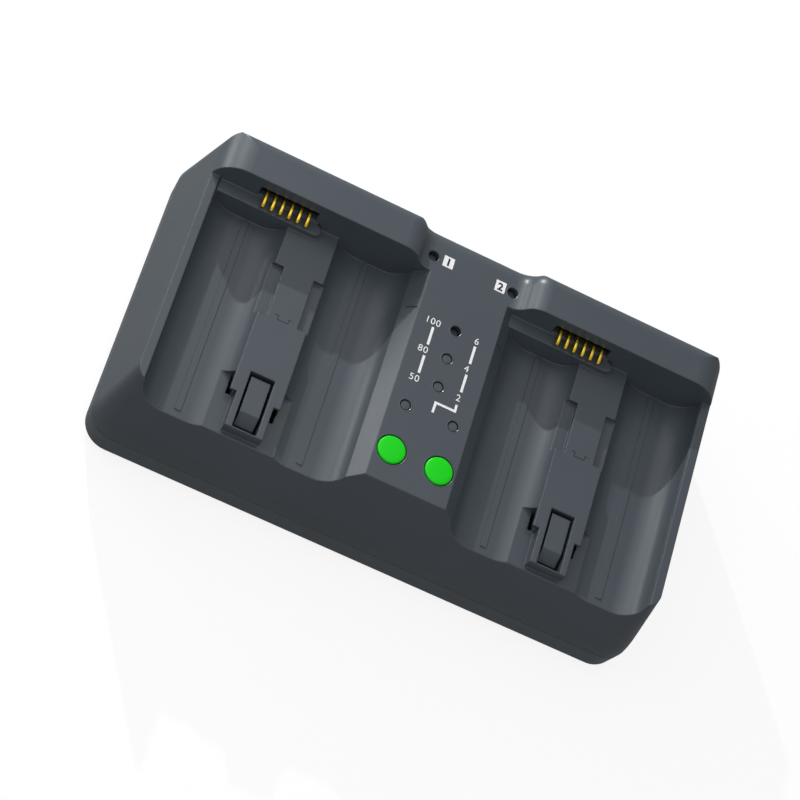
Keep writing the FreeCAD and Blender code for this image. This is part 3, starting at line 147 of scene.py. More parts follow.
# %% [markdown]
# ## The moulded plastics
# The case is ABS, injection moulded in a mould whose walls were spark-eroded to a fine satin grain.
# The grain breaks up the gloss, so the plastic looks soft and even. Its edges, rounded by half a
# millimetre, carry thin lines of light, and handling has polished them slightly.
# The grain of the real mould is about 0.15 mm, finer than a pixel of the picture, so it is drawn at
# 0.45 mm. A second, slow noise stands for the slight flow clouding of dyed plastic.
# The inlet, the contact carriers and the switch bodies are glass-filled nylon, blacker and a little
# rougher. The keys are the same ABS as the case, dyed a strong green, from a smoother mould.

# %% Moulded ABS and nylon
def moulded(name, colour, cloud, grain_mm, grain_depth_mm, roughness, specular, edge_mm):
    """Satin injection-moulded plastic: slow clouding in the colour, fine grain in the surface."""
    material, tree, place = new_material(name)
    slow = add(tree, "ShaderNodeTexNoise", {"Vector": place, "Scale": per_mm(24), "Detail": 3.0})
    tint = add(tree, "ShaderNodeValToRGB", {"Fac": slow.outputs["Fac"]}, two_tone(colour, cloud))
    fine = add(tree, "ShaderNodeTexNoise", {"Vector": place, "Scale": per_mm(grain_mm), "Detail": 2.0})
    rough = add(tree, "ShaderNodeMapRange", {**NOISE_REACH, "Value": fine.outputs["Fac"],
                                             "To Min": roughness - 0.04, "To Max": roughness + 0.05})
    normal = skin(tree, fine.outputs["Fac"], 0.5, grain_depth_mm, edge_mm)
    shade(tree, tint.outputs["Color"], rough.outputs["Result"], normal, {"Specular IOR Level": specular})
    return material


CASE_GREYS = ("444C53", "474F56")
case_abs = moulded("satin_moulded_ABS_blue_grey", *CASE_GREYS, 0.45, 0.008, 0.37, 0.5, 0.5)
lip_abs = moulded("polished_moulded_ABS_hole_lips", *CASE_GREYS, 0.45, 0.002, 0.3, 0.5, 0.03)
rib_abs = moulded("satin_moulded_ABS_ribs", *CASE_GREYS, 0.45, 0.008, 0.37, 0.5, 0.06)
key_abs = moulded("smooth_moulded_ABS_green", "0BD70D", "0FDA11", 0.6, 0.003, 0.38, 0.3, 0.2)
black_nylon = moulded("glass_filled_nylon_black", "131416", "1B1C1F", 0.3, 0.012, 0.55, 0.35, 0.15)
foot_rubber = moulded("moulded_rubber_dark_grey", "1E1F21", "26272A", 0.5, 0.02, 0.78, 0.3, 0.3)
print("plastics:", [m.name for m in (case_abs, lip_abs, rib_abs, key_abs, black_nylon, foot_rubber)])

# %% [markdown]
# ## The light guides
# Each light is a small rod of smoked acrylic that carries the lamp's light up to the console. While
# the lamp is off, a flush guide shows as a grey disc with a dark ring round it, and a deep one as a
# black hole. The moulding's tiny flow marks make the disc a little uneven. The guides are drawn
# solid, because light that enters them doesn't come back.

# %% Smoked acrylic
def smoked(name, colour, cloud, roughness, specular):
    """A cast or moulded clear resin, drawn solid, with flow marks of about 0.9 mm."""
    material, tree, place = new_material(name)
    flow, tint, rough = vary(tree, place, 0.9, 3.0, two_tone(colour, cloud, 0.35, 0.65),
                             (roughness - 0.05, roughness + 0.08))
    shade(tree, tint, rough, skin(tree, flow, 0.4, 0.01), {"Specular IOR Level": specular})
    return material


grey_guide = smoked("smoked_acrylic_light_guide", "454C52", "4C545A", 0.4, 0.4)
# The deep guides get a darker copy of the same acrylic: painted shade for their deep holes.
deep_guide_painted_shade = smoked("deep_set_smoked_acrylic_light_guide", "3A444C", "444E57", 0.45, 0.3)
# A near-black copy for the rods' sides and chamfer: painted shade, not a different resin.
painted_shade_rim = smoked("smoked_acrylic_rim_in_shade", "0B0E11", "111519", 0.45, 0.2)
lamp_epoxy = smoked("milky_epoxy_lamp_body", "D8D4C4", "E6E2D4", 0.3, 0.5)
print("resins:", [m.name for m in (grey_guide, deep_guide_painted_shade, painted_shade_rim, lamp_epoxy)])

# %% [markdown]
# ## The metals
# The contact blades are phosphor bronze with a gold flash, rolled and then stamped, so they are bright
# with fine lines along the rolling direction. The screws are zinc-plated steel. The latch springs are
# drawn wire and turn on pins of blackened steel, so that no bright dot shows beside a latch. The
# inlet's pins are nickel-plated brass, and the heat sink is extruded aluminium, left raw, with die
# lines along its length.

# %% Drawn and plated metals
def metal(name, colour, dull, roughness, lines_mm, lines_depth_mm, stretch=(1.0, 0.05, 1.0)):
    """Bare or plated metal with lines from rolling, drawing or extrusion, and slow dulling."""
    material, tree, place = new_material(name)
    drawn = add(tree, "ShaderNodeMapping", {"Vector": place, "Scale": stretch})
    lines = add(tree, "ShaderNodeTexNoise", {"Vector": drawn.outputs["Vector"],
                                             "Scale": per_mm(lines_mm), "Detail": 3.0})
    _, tint, rough = vary(tree, place, 2.2, 4.0, two_tone(colour, dull, 0.35),
                          (roughness - 0.05, roughness + 0.1))
    shade(tree, tint, rough, skin(tree, lines.outputs["Fac"], 0.5, lines_depth_mm, 0.08), {"Metallic": 1.0})
    return material


gold = metal("gold_flashed_bronze_blades", "F4D44A", "DBB234", 0.24, 0.25, 0.004)
zinc = metal("zinc_plated_screw_steel", "B9BBBE", "8F9297", 0.35, 0.3, 0.004, (1.0, 1.0, 1.0))
wire = metal("drawn_spring_wire", "8E9093", "6E7073", 0.3, 0.2, 0.004, (0.1, 1.0, 1.0))
black_steel = metal("blackened_pin_steel", "1E2022", "2A2C2E", 0.45, 0.25, 0.004, (0.1, 1.0, 1.0))
nickel = metal("nickel_plated_brass_pins", "D6D2C6", "BDB8AB", 0.22, 0.3, 0.003)
aluminium = metal("extruded_aluminium", "C4C7CA", "A6A9AD", 0.4, 0.35, 0.01, (1.0, 1.0, 0.04))
print("metals:", [m.name for m in (gold, zinc, wire, black_steel, nickel, aluminium)])

# %% [markdown]
# ## Boards, core and winding
# The boards are green solder lacquer over copper on glass laminate. The lacquer lies a few hundredths
# of a millimetre higher over the tracks, which therefore show as paler green lanes. The transformer's
# core is pressed ferrite, a dark grey ceramic. Enamelled copper wire of 0.5 mm lies side by side on
# its bobbin and shows as fine glossy ridges. Blender's wave texture has about three waves per unit of
# scale, so the wire's scale gets a factor.

# %% Laminate, ferrite and winding
laminate, tree, place = new_material("solder_lacquered_glass_laminate")
tracks = add(tree, "ShaderNodeTexBrick", {
    "Vector": place, "Scale": per_mm(9), "Mortar Size": 0.06, "Color1": linear("1F5A34"),
    "Color2": linear("225F38"), "Mortar": linear("3C8A55")}, offset=0.35, squash=0.7)
weave = add(tree, "ShaderNodeTexNoise", {"Vector": place, "Scale": per_mm(0.8), "Detail": 2.0})
rough = add(tree, "ShaderNodeMapRange", {**NOISE_REACH, "Value": weave.outputs["Fac"],
                                         "To Min": 0.25, "To Max": 0.42})
normal = skin(tree, tracks.outputs["Fac"], 0.6, 0.03)
shade(tree, tracks.outputs["Color"], rough.outputs["Result"], normal, {"Coat Weight": 0.3})

ferrite, tree, place = new_material("pressed_ferrite_core")
speckle, tint, rough = vary(tree, place, 0.7, 5.0, two_tone("26272A", "3A3B3F"), (0.5, 0.75))
shade(tree, tint, rough, skin(tree, speckle, 0.6, 0.03, 0.25))

WAVES_PER_SCALE = 0.31
winding, tree, place = new_material("enamelled_copper_winding")
turns = add(tree, "ShaderNodeTexWave", {
    "Vector": place, "Scale": WAVES_PER_SCALE * per_mm(0.5), "Distortion": 0.6, "Detail": 1.0},
    bands_direction="Y", wave_profile="SIN")
enamel = add(tree, "ShaderNodeTexNoise", {"Vector": place, "Scale": per_mm(3), "Detail": 3.0})
tint = add(tree, "ShaderNodeValToRGB", {"Fac": enamel.outputs["Fac"]}, two_tone("A4521F", "B9652C"))
normal = skin(tree, turns.outputs["Fac"], 0.8, 0.15)
shade(tree, tint.outputs["Color"], 0.3, normal, {"Metallic": 0.7, "Coat Weight": 0.6})
print("core and boards:", [m.name for m in (laminate, ferrite, winding)])

# %% [markdown]
# ## Sleeve and glass
# The capacitors wear a shrunk dark sleeve with a pale stripe on the side of the negative leg and a
# bare can top. Where the stripe and the top lie follows from the way a surface faces. The fuse is a
# glass tube with a metal cap at each end, told apart by their place along the tube.

# %% Shrunk sleeve
MIX_A, MIX_B, MIX_COLOUR = 6, 7, 2
STRIPE_FACING, TOP_FACING = -0.86, 0.8
sleeve, tree, place = new_material("shrunk_sleeve_and_can_top")
surface = add(tree, "ShaderNodeNewGeometry")
facing = add(tree, "ShaderNodeSeparateXYZ", {"Vector": surface.outputs["Normal"]})
film, navy, rough = vary(tree, place, 1.2, 3.0, two_tone("161D33", "1D2640"), (0.28, 0.42))
stripe = add(tree, "ShaderNodeMath", {0: facing.outputs["X"], 1: STRIPE_FACING}, operation="LESS_THAN")
sided = add(tree, "ShaderNodeMix", {"Factor": stripe.outputs[0], MIX_A: navy,
                                    MIX_B: linear("B8BEC6")}, data_type="RGBA")
top = add(tree, "ShaderNodeMath", {0: facing.outputs["Z"], 1: TOP_FACING}, operation="GREATER_THAN")
capped = add(tree, "ShaderNodeMix", {"Factor": top.outputs[0], MIX_A: sided.outputs[MIX_COLOUR],
                                     MIX_B: linear("B4B7BA")}, data_type="RGBA")
normal = skin(tree, film, 0.4, 0.01, 0.4)
shade(tree, capped.outputs[MIX_COLOUR], rough, normal, {"Metallic": top.outputs[0]})
print("sleeve:", sleeve.name)

# %% Glass fuse tube
FUSE_CAP = 5 * MM
fuse_tube, tree, place = new_material("glass_fuse_tube_with_caps")
low, high = (corner[0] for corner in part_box("mains_fuse"))
along = add(tree, "ShaderNodeSeparateXYZ", {"Vector": place})
from_middle = add(tree, "ShaderNodeMath", {0: along.outputs["X"], 1: (low + high) / 2},
                  operation="SUBTRACT")
away = add(tree, "ShaderNodeMath", {0: from_middle.outputs[0]}, operation="ABSOLUTE")
cap = add(tree, "ShaderNodeMath", {0: away.outputs[0], 1: (high - low) / 2 - FUSE_CAP},
          operation="GREATER_THAN")
smear = add(tree, "ShaderNodeTexNoise", {"Vector": place, "Scale": per_mm(1.5), "Detail": 3.0})
tube = add(tree, "ShaderNodeMix", {"Factor": cap.outputs[0], MIX_A: linear("CFD6D2"),
                                   MIX_B: linear("C3C0B6")}, data_type="RGBA")
rough = add(tree, "ShaderNodeMapRange", {**NOISE_REACH, "Value": smear.outputs["Fac"],
                                         "To Min": 0.1, "To Max": 0.26})
normal = skin(tree, smear.outputs["Fac"], 0.3, 0.01)
shade(tree, tube.outputs[MIX_COLOUR], rough.outputs["Result"], normal, {"Metallic": cap.outputs[0]})
print("fuse:", fuse_tube.name, "with caps of", round(FUSE_CAP / MM, 1), "mm")

# %% [markdown]
# ## Dress the solids
# Each solid of the frame carries one material slot, whose name says what the real part is made of.
# The slot's finish goes onto the solid as it is, so its shape stays exact. Only the two latch pins
# differ from their slot: they are blackened.

# %% Finishes by slot
FINISHES = {
    "case_plastic": case_abs, "key_plastic": key_abs, "lens_plastic": grey_guide,
    "diode_resin": lamp_epoxy, "contact_brass": gold, "black_plastic": black_nylon,
    "foot_rubber": foot_rubber, "screw_steel": zinc, "spring_steel": wire, "board_laminate": laminate,
    "plated_pins": nickel, "ferrite": ferrite, "copper_winding": winding, "capacitor_sleeve": sleeve,
    "fuse_glass": fuse_tube, "sink_aluminium": aluminium,
}
BLACKENED = ("left_latch_pin", "right_latch_pin")
for node_name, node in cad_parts.items():
    slots = node.data.materials
    for i in range(len(slots)):
        slots[i] = black_steel if node_name in BLACKENED else FINISHES[slots[i].name]
print("dressed", len(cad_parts), "solids")

# %% [markdown]
# ## Tools for new pieces
# A new piece is a mesh at the origin, with its place in the mesh, that rides on one body of the frame.
# A turned part, such as a key or a foot, is a half section swept round an upright axis. A piece that
# stands for a solid stays a hair inside it, so that it can't meet what the solid just clears.

# %% Meshes and turned parts
HAIR = 0.01


def link(thing):
    """Puts an object into the scene."""
    bpy.context.scene.collection.objects.link(thing)
    return thing


def make_piece(name, body, build, finish=None, smooth=None):
    """Runs build on an empty bmesh and links the result as a piece that rides on the body. Edges
    flatter than smooth, in degrees, are shaded smoothly across."""
    mesh = bpy.data.meshes.new(name)
    shape = bmesh.new()
    build(shape)
    bmesh.ops.remove_doubles(shape, verts=shape.verts, dist=0.001 * MM)
    bmesh.ops.recalc_face_normals(shape, faces=shape.faces)
    shape.to_mesh(mesh)
    shape.free()
    if finish:
        mesh.materials.append(finish)
    if smooth:
        mesh.polygons.foreach_set("use_smooth", [True] * len(mesh.polygons))
        mesh.set_sharp_from_angle(angle=math.radians(smooth))
    piece = link(bpy.data.objects.new(name, mesh))
    if body:
        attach(piece, body)
    return piece


def turned(shape, section, x, y, steps):
    """Sweeps (radius, height) points in mm round the upright axis at x, y."""
    turns = [2 * math.pi * i / steps for i in range(steps)]
    rings = []
    for radius, height in section:
        spots = [(x + radius * math.cos(a), y + radius * math.sin(a)) for a in turns]
        if radius == 0:
            spots = [(x, y)]
        rings.append([shape.verts.new((px * MM, py * MM, height * MM)) for px, py in spots])
    for lower, upper in zip(rings, rings[1:]):
        for i in range(steps):
            j = (i + 1) % steps
            corners = [lower[i % len(lower)], lower[j % len(lower)],
                       upper[j % len(upper)], upper[i % len(upper)]]
            unique = list(dict.fromkeys(corners))
            if len(unique) > 2:
                shape.faces.new(unique)


def corner_arc(radius, height, size, start, end, steps):
    """Points of a round corner in a section, about a centre, between two angles in degrees."""
    turns = [math.radians(start + (end - start) * i / steps) for i in range(steps + 1)]
    return [(radius + size * math.cos(a), height + size * math.sin(a)) for a in turns]


def place_of(node_name):
    """The lowest corner, the highest corner and the middle of a solid's box, in mm."""
    low, high = [[v / MM for v in corner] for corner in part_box(node_name)]
    return low, high, [(a + b) / 2 for a, b in zip(low, high)]


BAY_MIDDLES = {side: place_of(side + "_latch_lever")[2][0] for side in SIDES}
print("the bays' middles in mm:", {side: round(x, 2) for side, x in BAY_MIDDLES.items()})

# %% [markdown]
# ## Setting out what repeats
# What repeats is set out with Geometry Nodes: one master shape, a count and a pitch, and a small seeded
# turn where the real parts are never quite alike. Every such group begins with its named inputs and
# ends alike: a copy of the master stands on each point, and the copies are made real.

# %% Begin and end a group
def new_group(name, inputs):
    """A node group with these inputs and one geometry output, and its input node's sockets."""
    group = bpy.data.node_groups.new(name, "GeometryNodeTree")
    for socket_name, kind in inputs:
        group.interface.new_socket(socket_name, in_out="INPUT", socket_type="NodeSocket" + kind)
    group.interface.new_socket("Set", in_out="OUTPUT", socket_type="NodeSocketGeometry")
    return group, add(group, "NodeGroupInput").outputs


def copy_onto(group, ask, count, spot, heading):
    """Ends a group: a finished copy of the master at each spot, turned to its heading."""
    points = add(group, "GeometryNodePoints", {"Count": count, "Position": spot})
    master = add(group, "GeometryNodeObjectInfo", {"Object": ask["Piece"]}, transform_space="ORIGINAL")
    copies = add(group, "GeometryNodeInstanceOnPoints", {
        "Points": points.outputs[0], "Instance": master.outputs["Geometry"], "Rotation": heading})
    real = add(group, "GeometryNodeRealizeInstances", {"Geometry": copies.outputs[0]})
    done = add(group, "GeometryNodeSetMaterial", {"Geometry": real.outputs[0],
                                                  "Material": ask["Finish"]})
    add(group, "NodeGroupOutput", {"Set": done.outputs[0]})


def value_of(node):
    """The output of a random value node that carries its number."""
    return next(socket for socket in node.outputs if socket.enabled and socket.name == "Value")


print("each group takes a master piece and a finish")

# %% [markdown]
# ## The grid
# The blades, the feet, the screws and the printed bars all stand on a grid of columns and rows. A copy's
# number, divided by the number of columns, gives its row, and the remainder its column. Both are
# counted from the middle of the grid, so the centre is the only place that a grid needs.

# %% A group for grids
GRID, ask = new_group("set_out_on_a_grid", [
    ("Piece", "Object"), ("Columns", "Int"), ("Rows", "Int"), ("Column Pitch", "Float"),
    ("Row Pitch", "Float"), ("Centre", "Vector"), ("Turn", "Float"), ("Seed", "Int"),
    ("Finish", "Material")])
index = add(GRID, "GeometryNodeInputIndex").outputs[0]
column = add(GRID, "ShaderNodeMath", {0: index, 1: ask["Columns"]}, operation="MODULO")
row = add(GRID, "ShaderNodeMath", {0: index, 1: ask["Columns"]}, operation="DIVIDE")
row = add(GRID, "ShaderNodeMath", {0: row.outputs[0]}, operation="FLOOR")
places = []
for number, count, pitch in ((column, "Columns", "Column Pitch"), (row, "Rows", "Row Pitch")):
    last = add(GRID, "ShaderNodeMath", {0: ask[count], 1: 1.0}, operation="SUBTRACT")
    middle = add(GRID, "ShaderNodeMath", {0: last.outputs[0], 1: 2.0}, operation="DIVIDE")
    steps = add(GRID, "ShaderNodeMath", {0: number.outputs[0], 1: middle.outputs[0]},
                operation="SUBTRACT")
    places.append(add(GRID, "ShaderNodeMath", {0: steps.outputs[0], 1: ask[pitch]},
                      operation="MULTIPLY"))
spot = add(GRID, "ShaderNodeCombineXYZ", {"X": places[0].outputs[0], "Y": places[1].outputs[0]})
spot = add(GRID, "ShaderNodeVectorMath", {0: spot.outputs[0], 1: ask["Centre"]}, operation="ADD")
total = add(GRID, "ShaderNodeMath", {0: ask["Columns"], 1: ask["Rows"]}, operation="MULTIPLY")
back = add(GRID, "ShaderNodeMath", {0: ask["Turn"], 1: -1.0}, operation="MULTIPLY")
random_turn = add(GRID, "FunctionNodeRandomValue", {
    "Min": back.outputs[0], "Max": ask["Turn"], "Seed": ask["Seed"]}, data_type="FLOAT")
heading = add(GRID, "ShaderNodeCombineXYZ", {"Z": value_of(random_turn)})
copy_onto(GRID, ask, total.outputs[0], spot.outputs[0], heading.outputs[0])
print("the grid group has", len(GRID.nodes), "nodes")

# %% [markdown]
# ## Running a group
# A group works as a modifier on an empty piece, which asks for the master and the numbers by name. The
# result is kept as one plain mesh, and the master goes, so that only finished pieces are left.

# %% Run a group and keep its mesh
def set_out(name, body, master_piece, group=GRID, **inputs):
    """Runs a group on the master and keeps the result as one mesh. The master then goes."""
    piece = link(bpy.data.objects.new(name, bpy.data.meshes.new(name)))
    modifier = piece.modifiers.new("set out", "NODES")
    modifier.node_group = group
    inputs["Piece"] = master_piece
    for item in group.interface.items_tree:
        if item.in_out == "INPUT" and item.name.replace(" ", "_") in inputs:
            modifier[item.identifier] = inputs[item.name.replace(" ", "_")]
    piece.update_tag()
    view = bpy.context.evaluated_depsgraph_get()
    mesh = bpy.data.meshes.new_from_object(piece.evaluated_get(view), preserve_all_data_layers=True,
                                           depsgraph=view)
    piece.modifiers.clear()
    piece.data = mesh
    bpy.data.objects.remove(master_piece)
    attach(piece, body)
    print(name, "is one mesh of", len(mesh.polygons), "faces")
    return piece

# %% [markdown]
# ## The push keys
# Each key is a moulded cap 7.9 mm across that lies nearly flush with the console. Its face is very
# slightly domed, so that a finger finds the middle, and its rim is rounded by half a millimetre. A
# wider flange under the console keeps it from falling out, and a short stem reaches down to the switch.
# The cap is turned with fine steps, because its round outline stands out against the grey case.

# %% Turn the green keys
CONSOLE_TOP, COVER_WALL = 38.0, 2.2
KEY_PLAY, KEY_STEM, KEY_FLANGE_THICK, KEY_EASE = 0.1, 2.0, 0.8, 0.09
CAP_RADIUS, CAP_RIM, CAP_DOME, CAP_SUNK = 3.94, 0.45, 0.1, 0.55


def key_section(bottom, crown, flange):
    """Half of a key: stem, flange under the cover, side, round rim and domed face."""
    stem, edge = KEY_STEM - HAIR, flange - HAIR
    upper = CONSOLE_TOP - COVER_WALL - KEY_PLAY - HAIR
    lower = upper - KEY_FLANGE_THICK + 2 * HAIR
    section = [(0, bottom + HAIR), (stem, bottom + HAIR), (stem, lower), (edge - KEY_EASE, lower),
               (edge, lower + KEY_EASE), (edge, upper - KEY_EASE), (edge - KEY_EASE, upper),
               (CAP_RADIUS, upper)]
    rim = crown - HAIR - CAP_DOME - CAP_RIM
    section += corner_arc(CAP_RADIUS - CAP_RIM, rim, CAP_RIM, 0, 80, 6)
    return section + [(2.4, crown - 0.06), (1.2, crown - 0.02), (0, crown - HAIR)]


for side in SIDES:
    low, high, (x, y, _) = place_of(side + "_key")
    section = key_section(low[2], high[2] - CAP_SUNK, (high[0] - low[0]) / 2)
    key = make_piece(side + "_key_cap", side + "_key",
                     lambda shape: turned(shape, section, x, y, 96), key_abs, smooth=40)
    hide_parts(side + "_key")
    print(side, "key: top at", round(section[-1][1], 2), "mm, console at", CONSOLE_TOP, "mm")

# %% [markdown]
# ## The light guides in the console
# Each guide is a turned or moulded rod with a chamfered rim. Four faces lie just under the console, and
# three lie deep. The chamfer drops into the gap round the face, where hardly any light reaches, and all
# faces of the rod but its top are painted near-black: painted shade that makes the dark ring which each
# grey disc shows. A collar under the console keeps the rod in its hole. The painted shade is its own
# finish on the same mesh, so that it stays crisp at any distance.

# %% Turn the seven light guides
DEEP_GUIDES = ("level_high_lens", "bay_left_lens", "bay_right_lens")
GUIDE_GAP, COLLAR_STEP, COLLAR_THICK = 0.14, 0.5, 0.7


def guide_section(foot, face, collar):
    """Half of a light guide: rod, collar under the cover, chamfered rim and flat face."""
    stem, edge = collar - COLLAR_STEP, collar - HAIR
    upper = CONSOLE_TOP - COVER_WALL - GUIDE_GAP - HAIR
    lower = upper - COLLAR_THICK + 2 * HAIR
    rod = stem - HAIR
    return [(0, foot + HAIR), (rod, foot + HAIR), (rod, lower), (edge, lower), (edge, upper),
            (rod, upper), (rod, face - 0.3), (stem - 0.22, face - 0.02), (stem - 0.27, face - HAIR),
            (0, face - HAIR)]


guides = [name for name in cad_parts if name.endswith("_lens")]
for name in guides:
    low, high, (x, y, _) = place_of(name)
    section = guide_section(low[2], high[2], (high[0] - low[0]) / 2)
    # The three deep guides take the darker copy, whose extra darkness is painted shade.
    rod = make_piece(name + "_rod", "case", lambda shape: turned(shape, section, x, y, 48),
                     deep_guide_painted_shade if name in DEEP_GUIDES else grey_guide, smooth=40)
    # Every face but the top takes the near-black copy: painted shade for the gap round the face.
    rod.data.materials.append(painted_shade_rim)
    for polygon in rod.data.polygons:
        polygon.material_index = 0 if polygon.normal.z > 0.95 else 1
    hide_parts(name)
print("turned", len(guides), "light guides")

# %% [markdown]
# ## The lips round the holes
# A hole in a moulded cover gets a fine raised lip, so that its edge comes out of the mould crisp. The
# inner side of the lip leans by about 31 degrees and mirrors the low light as a thin bright arc at the
# lower right of each hole. The outer side runs out so gently that it hardly shows. All nine lips are
# turned into one mesh.

# %% Turn a lip round each hole
KEY_STEP, KEY_GAP = 0.9, 0.2
LIP_IN, LIP_OUT, LIP_ROOT, LIP_RISE = 0.08, 0.4, 0.1, 0.045


def hole_lips(shape):
    """Turns a lip round each hole, which is as wide as its part without the flange, plus the gap."""
    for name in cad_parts:
        step, gap = (KEY_STEP, KEY_GAP) if name.endswith("_key") else (COLLAR_STEP, GUIDE_GAP)
        if name.endswith(("_key", "_lens")):
            low, high, (x, y, _) = place_of(name)
            hole = (high[0] - low[0]) / 2 - step + gap
            inner, outer, root = hole - LIP_IN, hole + LIP_OUT, CONSOLE_TOP - LIP_ROOT
            section = [(inner, root), (inner, root + LIP_ROOT / 2),
                       (hole + gap / 2, CONSOLE_TOP + LIP_RISE), (outer, CONSOLE_TOP),
                       (outer, root), (inner, root)]
            turned(shape, section, x, y, 96)


lips = make_piece("hole_lips", "case", hole_lips, lip_abs, smooth=25)
print("turned the lips round the holes:", len(lips.data.polygons), "faces")

# %% [markdown]
# ## The low ribs in the troughs
# A battery slides on two low ribs in each bay. Each rib is a flat strip under 2 mm wide that stands a
# quarter of a millimetre off the floor. Low light can't reach the floor just behind its right edge and
# its front end, and that is the thin dark line with a short foot that the eye sees. Each strip is one
# section drawn along the trough, and its two upper edges are eased by a twentieth of a millimetre.

# %% Draw the rib strips
RIB_ROOT, RIB_TOP, RIB_EASE, RIB_FRONT = 28.4, 28.76, 0.05, -38.05
RIB_EDGES_AND_REAR = ((-18.3, -16.52, 21.8), (16.52, 18.3, 25.8))


def rib_strips(shape):
    for middle in BAY_MIDDLES.values():
        for left, right, rear in RIB_EDGES_AND_REAR:
            section = [(left, RIB_ROOT), (left, RIB_TOP - RIB_EASE), (left + RIB_EASE, RIB_TOP),
                       (right - RIB_EASE, RIB_TOP), (right, RIB_TOP - RIB_EASE), (right, RIB_ROOT)]
            front_ring, rear_ring = [
                [shape.verts.new(((middle + x) * MM, y * MM, z * MM)) for x, z in section]
                for y in (RIB_FRONT, rear)]
            shape.faces.new(front_ring)
            shape.faces.new(rear_ring)
            for i in range(len(section)):
                shape.faces.new((front_ring[i - 1], front_ring[i], rear_ring[i], rear_ring[i - 1]))


ribs = make_piece("trough_rib_strips", "case", rib_strips, rib_abs)
print("drew the rib strips:", len(ribs.data.polygons), "faces")

# %% [markdown]
# ## The contact blades
# Twelve blades carry the current. Each is stamped from 0.8 mm strip: a tongue whose nose is bent
# forwards and down like a little ski, so that a battery slides along it without catching. Stamping
# rolls the upper edges over, which is why each blade shows a bright line along its top.
# One master blade is set out six times at 2.54 mm, the usual pitch of contacts.

# %% Stamp and set out the blades
BLADE_THICK, BLADE_PITCH, BLADE_ROUND = 0.8, 2.54, 0.16


def blade_outline(front, rear, foot, crown):
    """The side view of a blade: round nose, foot, rear end, and the sweep down to the nose."""
    nose = corner_arc(front + 0.62, foot + 0.72, 0.6, 200, 270, 4)
    sweep = [(front + 2.6, crown - HAIR), (front + 1.5, foot + 2.03), (front + 0.8, foot + 1.78),
             (front + 0.35, foot + 1.5), (front + 0.05, foot + 1.2)]
    return nose + [(rear - HAIR, foot + 0.02), (rear - HAIR, crown - HAIR)] + sweep


def blade(shape, outline):
    """Extrudes the outline to the strip's thickness and rounds the edges of both cut sides."""
    ring = [shape.verts.new((-BLADE_THICK / 2 * MM, y * MM, z * MM)) for y, z in outline]
    moved = bmesh.ops.extrude_face_region(shape, geom=[shape.faces.new(ring)])
    far = [v for v in moved["geom"] if isinstance(v, bmesh.types.BMVert)]
    bmesh.ops.translate(shape, vec=(BLADE_THICK * MM, 0, 0), verts=far)
    rims = [e for e in shape.edges if len({round(v.co.x, 6) for v in e.verts}) == 1]
    bmesh.ops.bevel(shape, geom=rims, offset=BLADE_ROUND * MM, segments=3, affect="EDGES", profile=0.5)


for side in SIDES:
    low, high, middle = place_of(side + "_contact_blades")
    outline = blade_outline(low[1], high[1], low[2], high[2])
    master = make_piece(side + "_blade_master", None, lambda shape: blade(shape, outline), smooth=35)
    centre = (middle[0] * MM, 0, 0)
    blades = set_out(side + "_gold_blades", "case", master, Columns=6, Rows=1, Turn=0.0, Seed=4,
                     Column_Pitch=BLADE_PITCH * MM, Row_Pitch=0.0, Centre=centre, Finish=gold)
    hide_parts(side + "_contact_blades")

# %% [markdown]
# ## The feet
# Four rubber feet are pressed into round seats. Each is moulded with a rounded rim and a shallow dish,
# which grips the desk like a sucker. One foot is turned and set out on a grid of two by two.

# %% Mould the feet
FEET = ["rubber_foot_%s_%s" % (end, side) for end in ("front", "rear") for side in SIDES]
low, high, (foot_x, foot_y, _) = place_of("rubber_foot_rear_right")
base, seat, radius = low[2], high[2], (high[0] - low[0]) / 2
foot_section = [(0, base + 0.35), (radius - 2.2, base + 0.3), (radius - 1.7, base + 0.05),
                (radius - 1.4, base + 0.005), (radius - 0.95, base + 0.005)]
foot_section += corner_arc(radius - 0.75, base + 0.42, 0.4, -80, 0, 5)
foot_section += [(radius - 0.02, seat - HAIR), (0, seat - HAIR)]
master = make_piece("foot_master", None, lambda shape: turned(shape, foot_section, 0, 0, 64), smooth=40)
feet = set_out("rubber_feet", "case", master, Columns=2, Rows=2, Column_Pitch=2 * foot_x * MM,
               Row_Pitch=2 * foot_y * MM, Centre=(0, 0, 0), Turn=0.3, Seed=7, Finish=foot_rubber)
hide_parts(*FEET)

# %% [markdown]
# ## The case screws
# Four pan-head screws close the case from below. The recess for the driver is drawn as a plain cone and
# the thread as rings, since they lie underneath. No two screws end at the same angle, so the set gets
# a seeded turn of up to forty degrees each way.

# %% Turn the screws
HEAD_RADIUS, THREAD_PITCH, THREAD_CORE, THREAD_OUT = 2.7, 1.1, 1.15, 1.385


def screw_section(head, shaft_top):
    """Half of a screw, from the dished face of its head up to the end of its shaft."""
    section = [(0, head + 0.75), (2.1, head + 0.02), (2.4, head + 0.12), (2.62, head + 0.4)]
    section += [(2.69, head + 0.7), (2.69, head + 1.79), (1.39, head + 1.79)]
    step = 0.0
    while head + 2.2 + step < shaft_top - 1.0:
        section += [(THREAD_CORE, head + 2.2 + step), (THREAD_CORE, head + 2.5 + step)]
        section += [(THREAD_OUT, head + 2.75 + step), (THREAD_OUT, head + 2.85 + step)]
        step += THREAD_PITCH
    return section + [(THREAD_CORE, shaft_top - 0.5), (0, shaft_top - 0.02)]


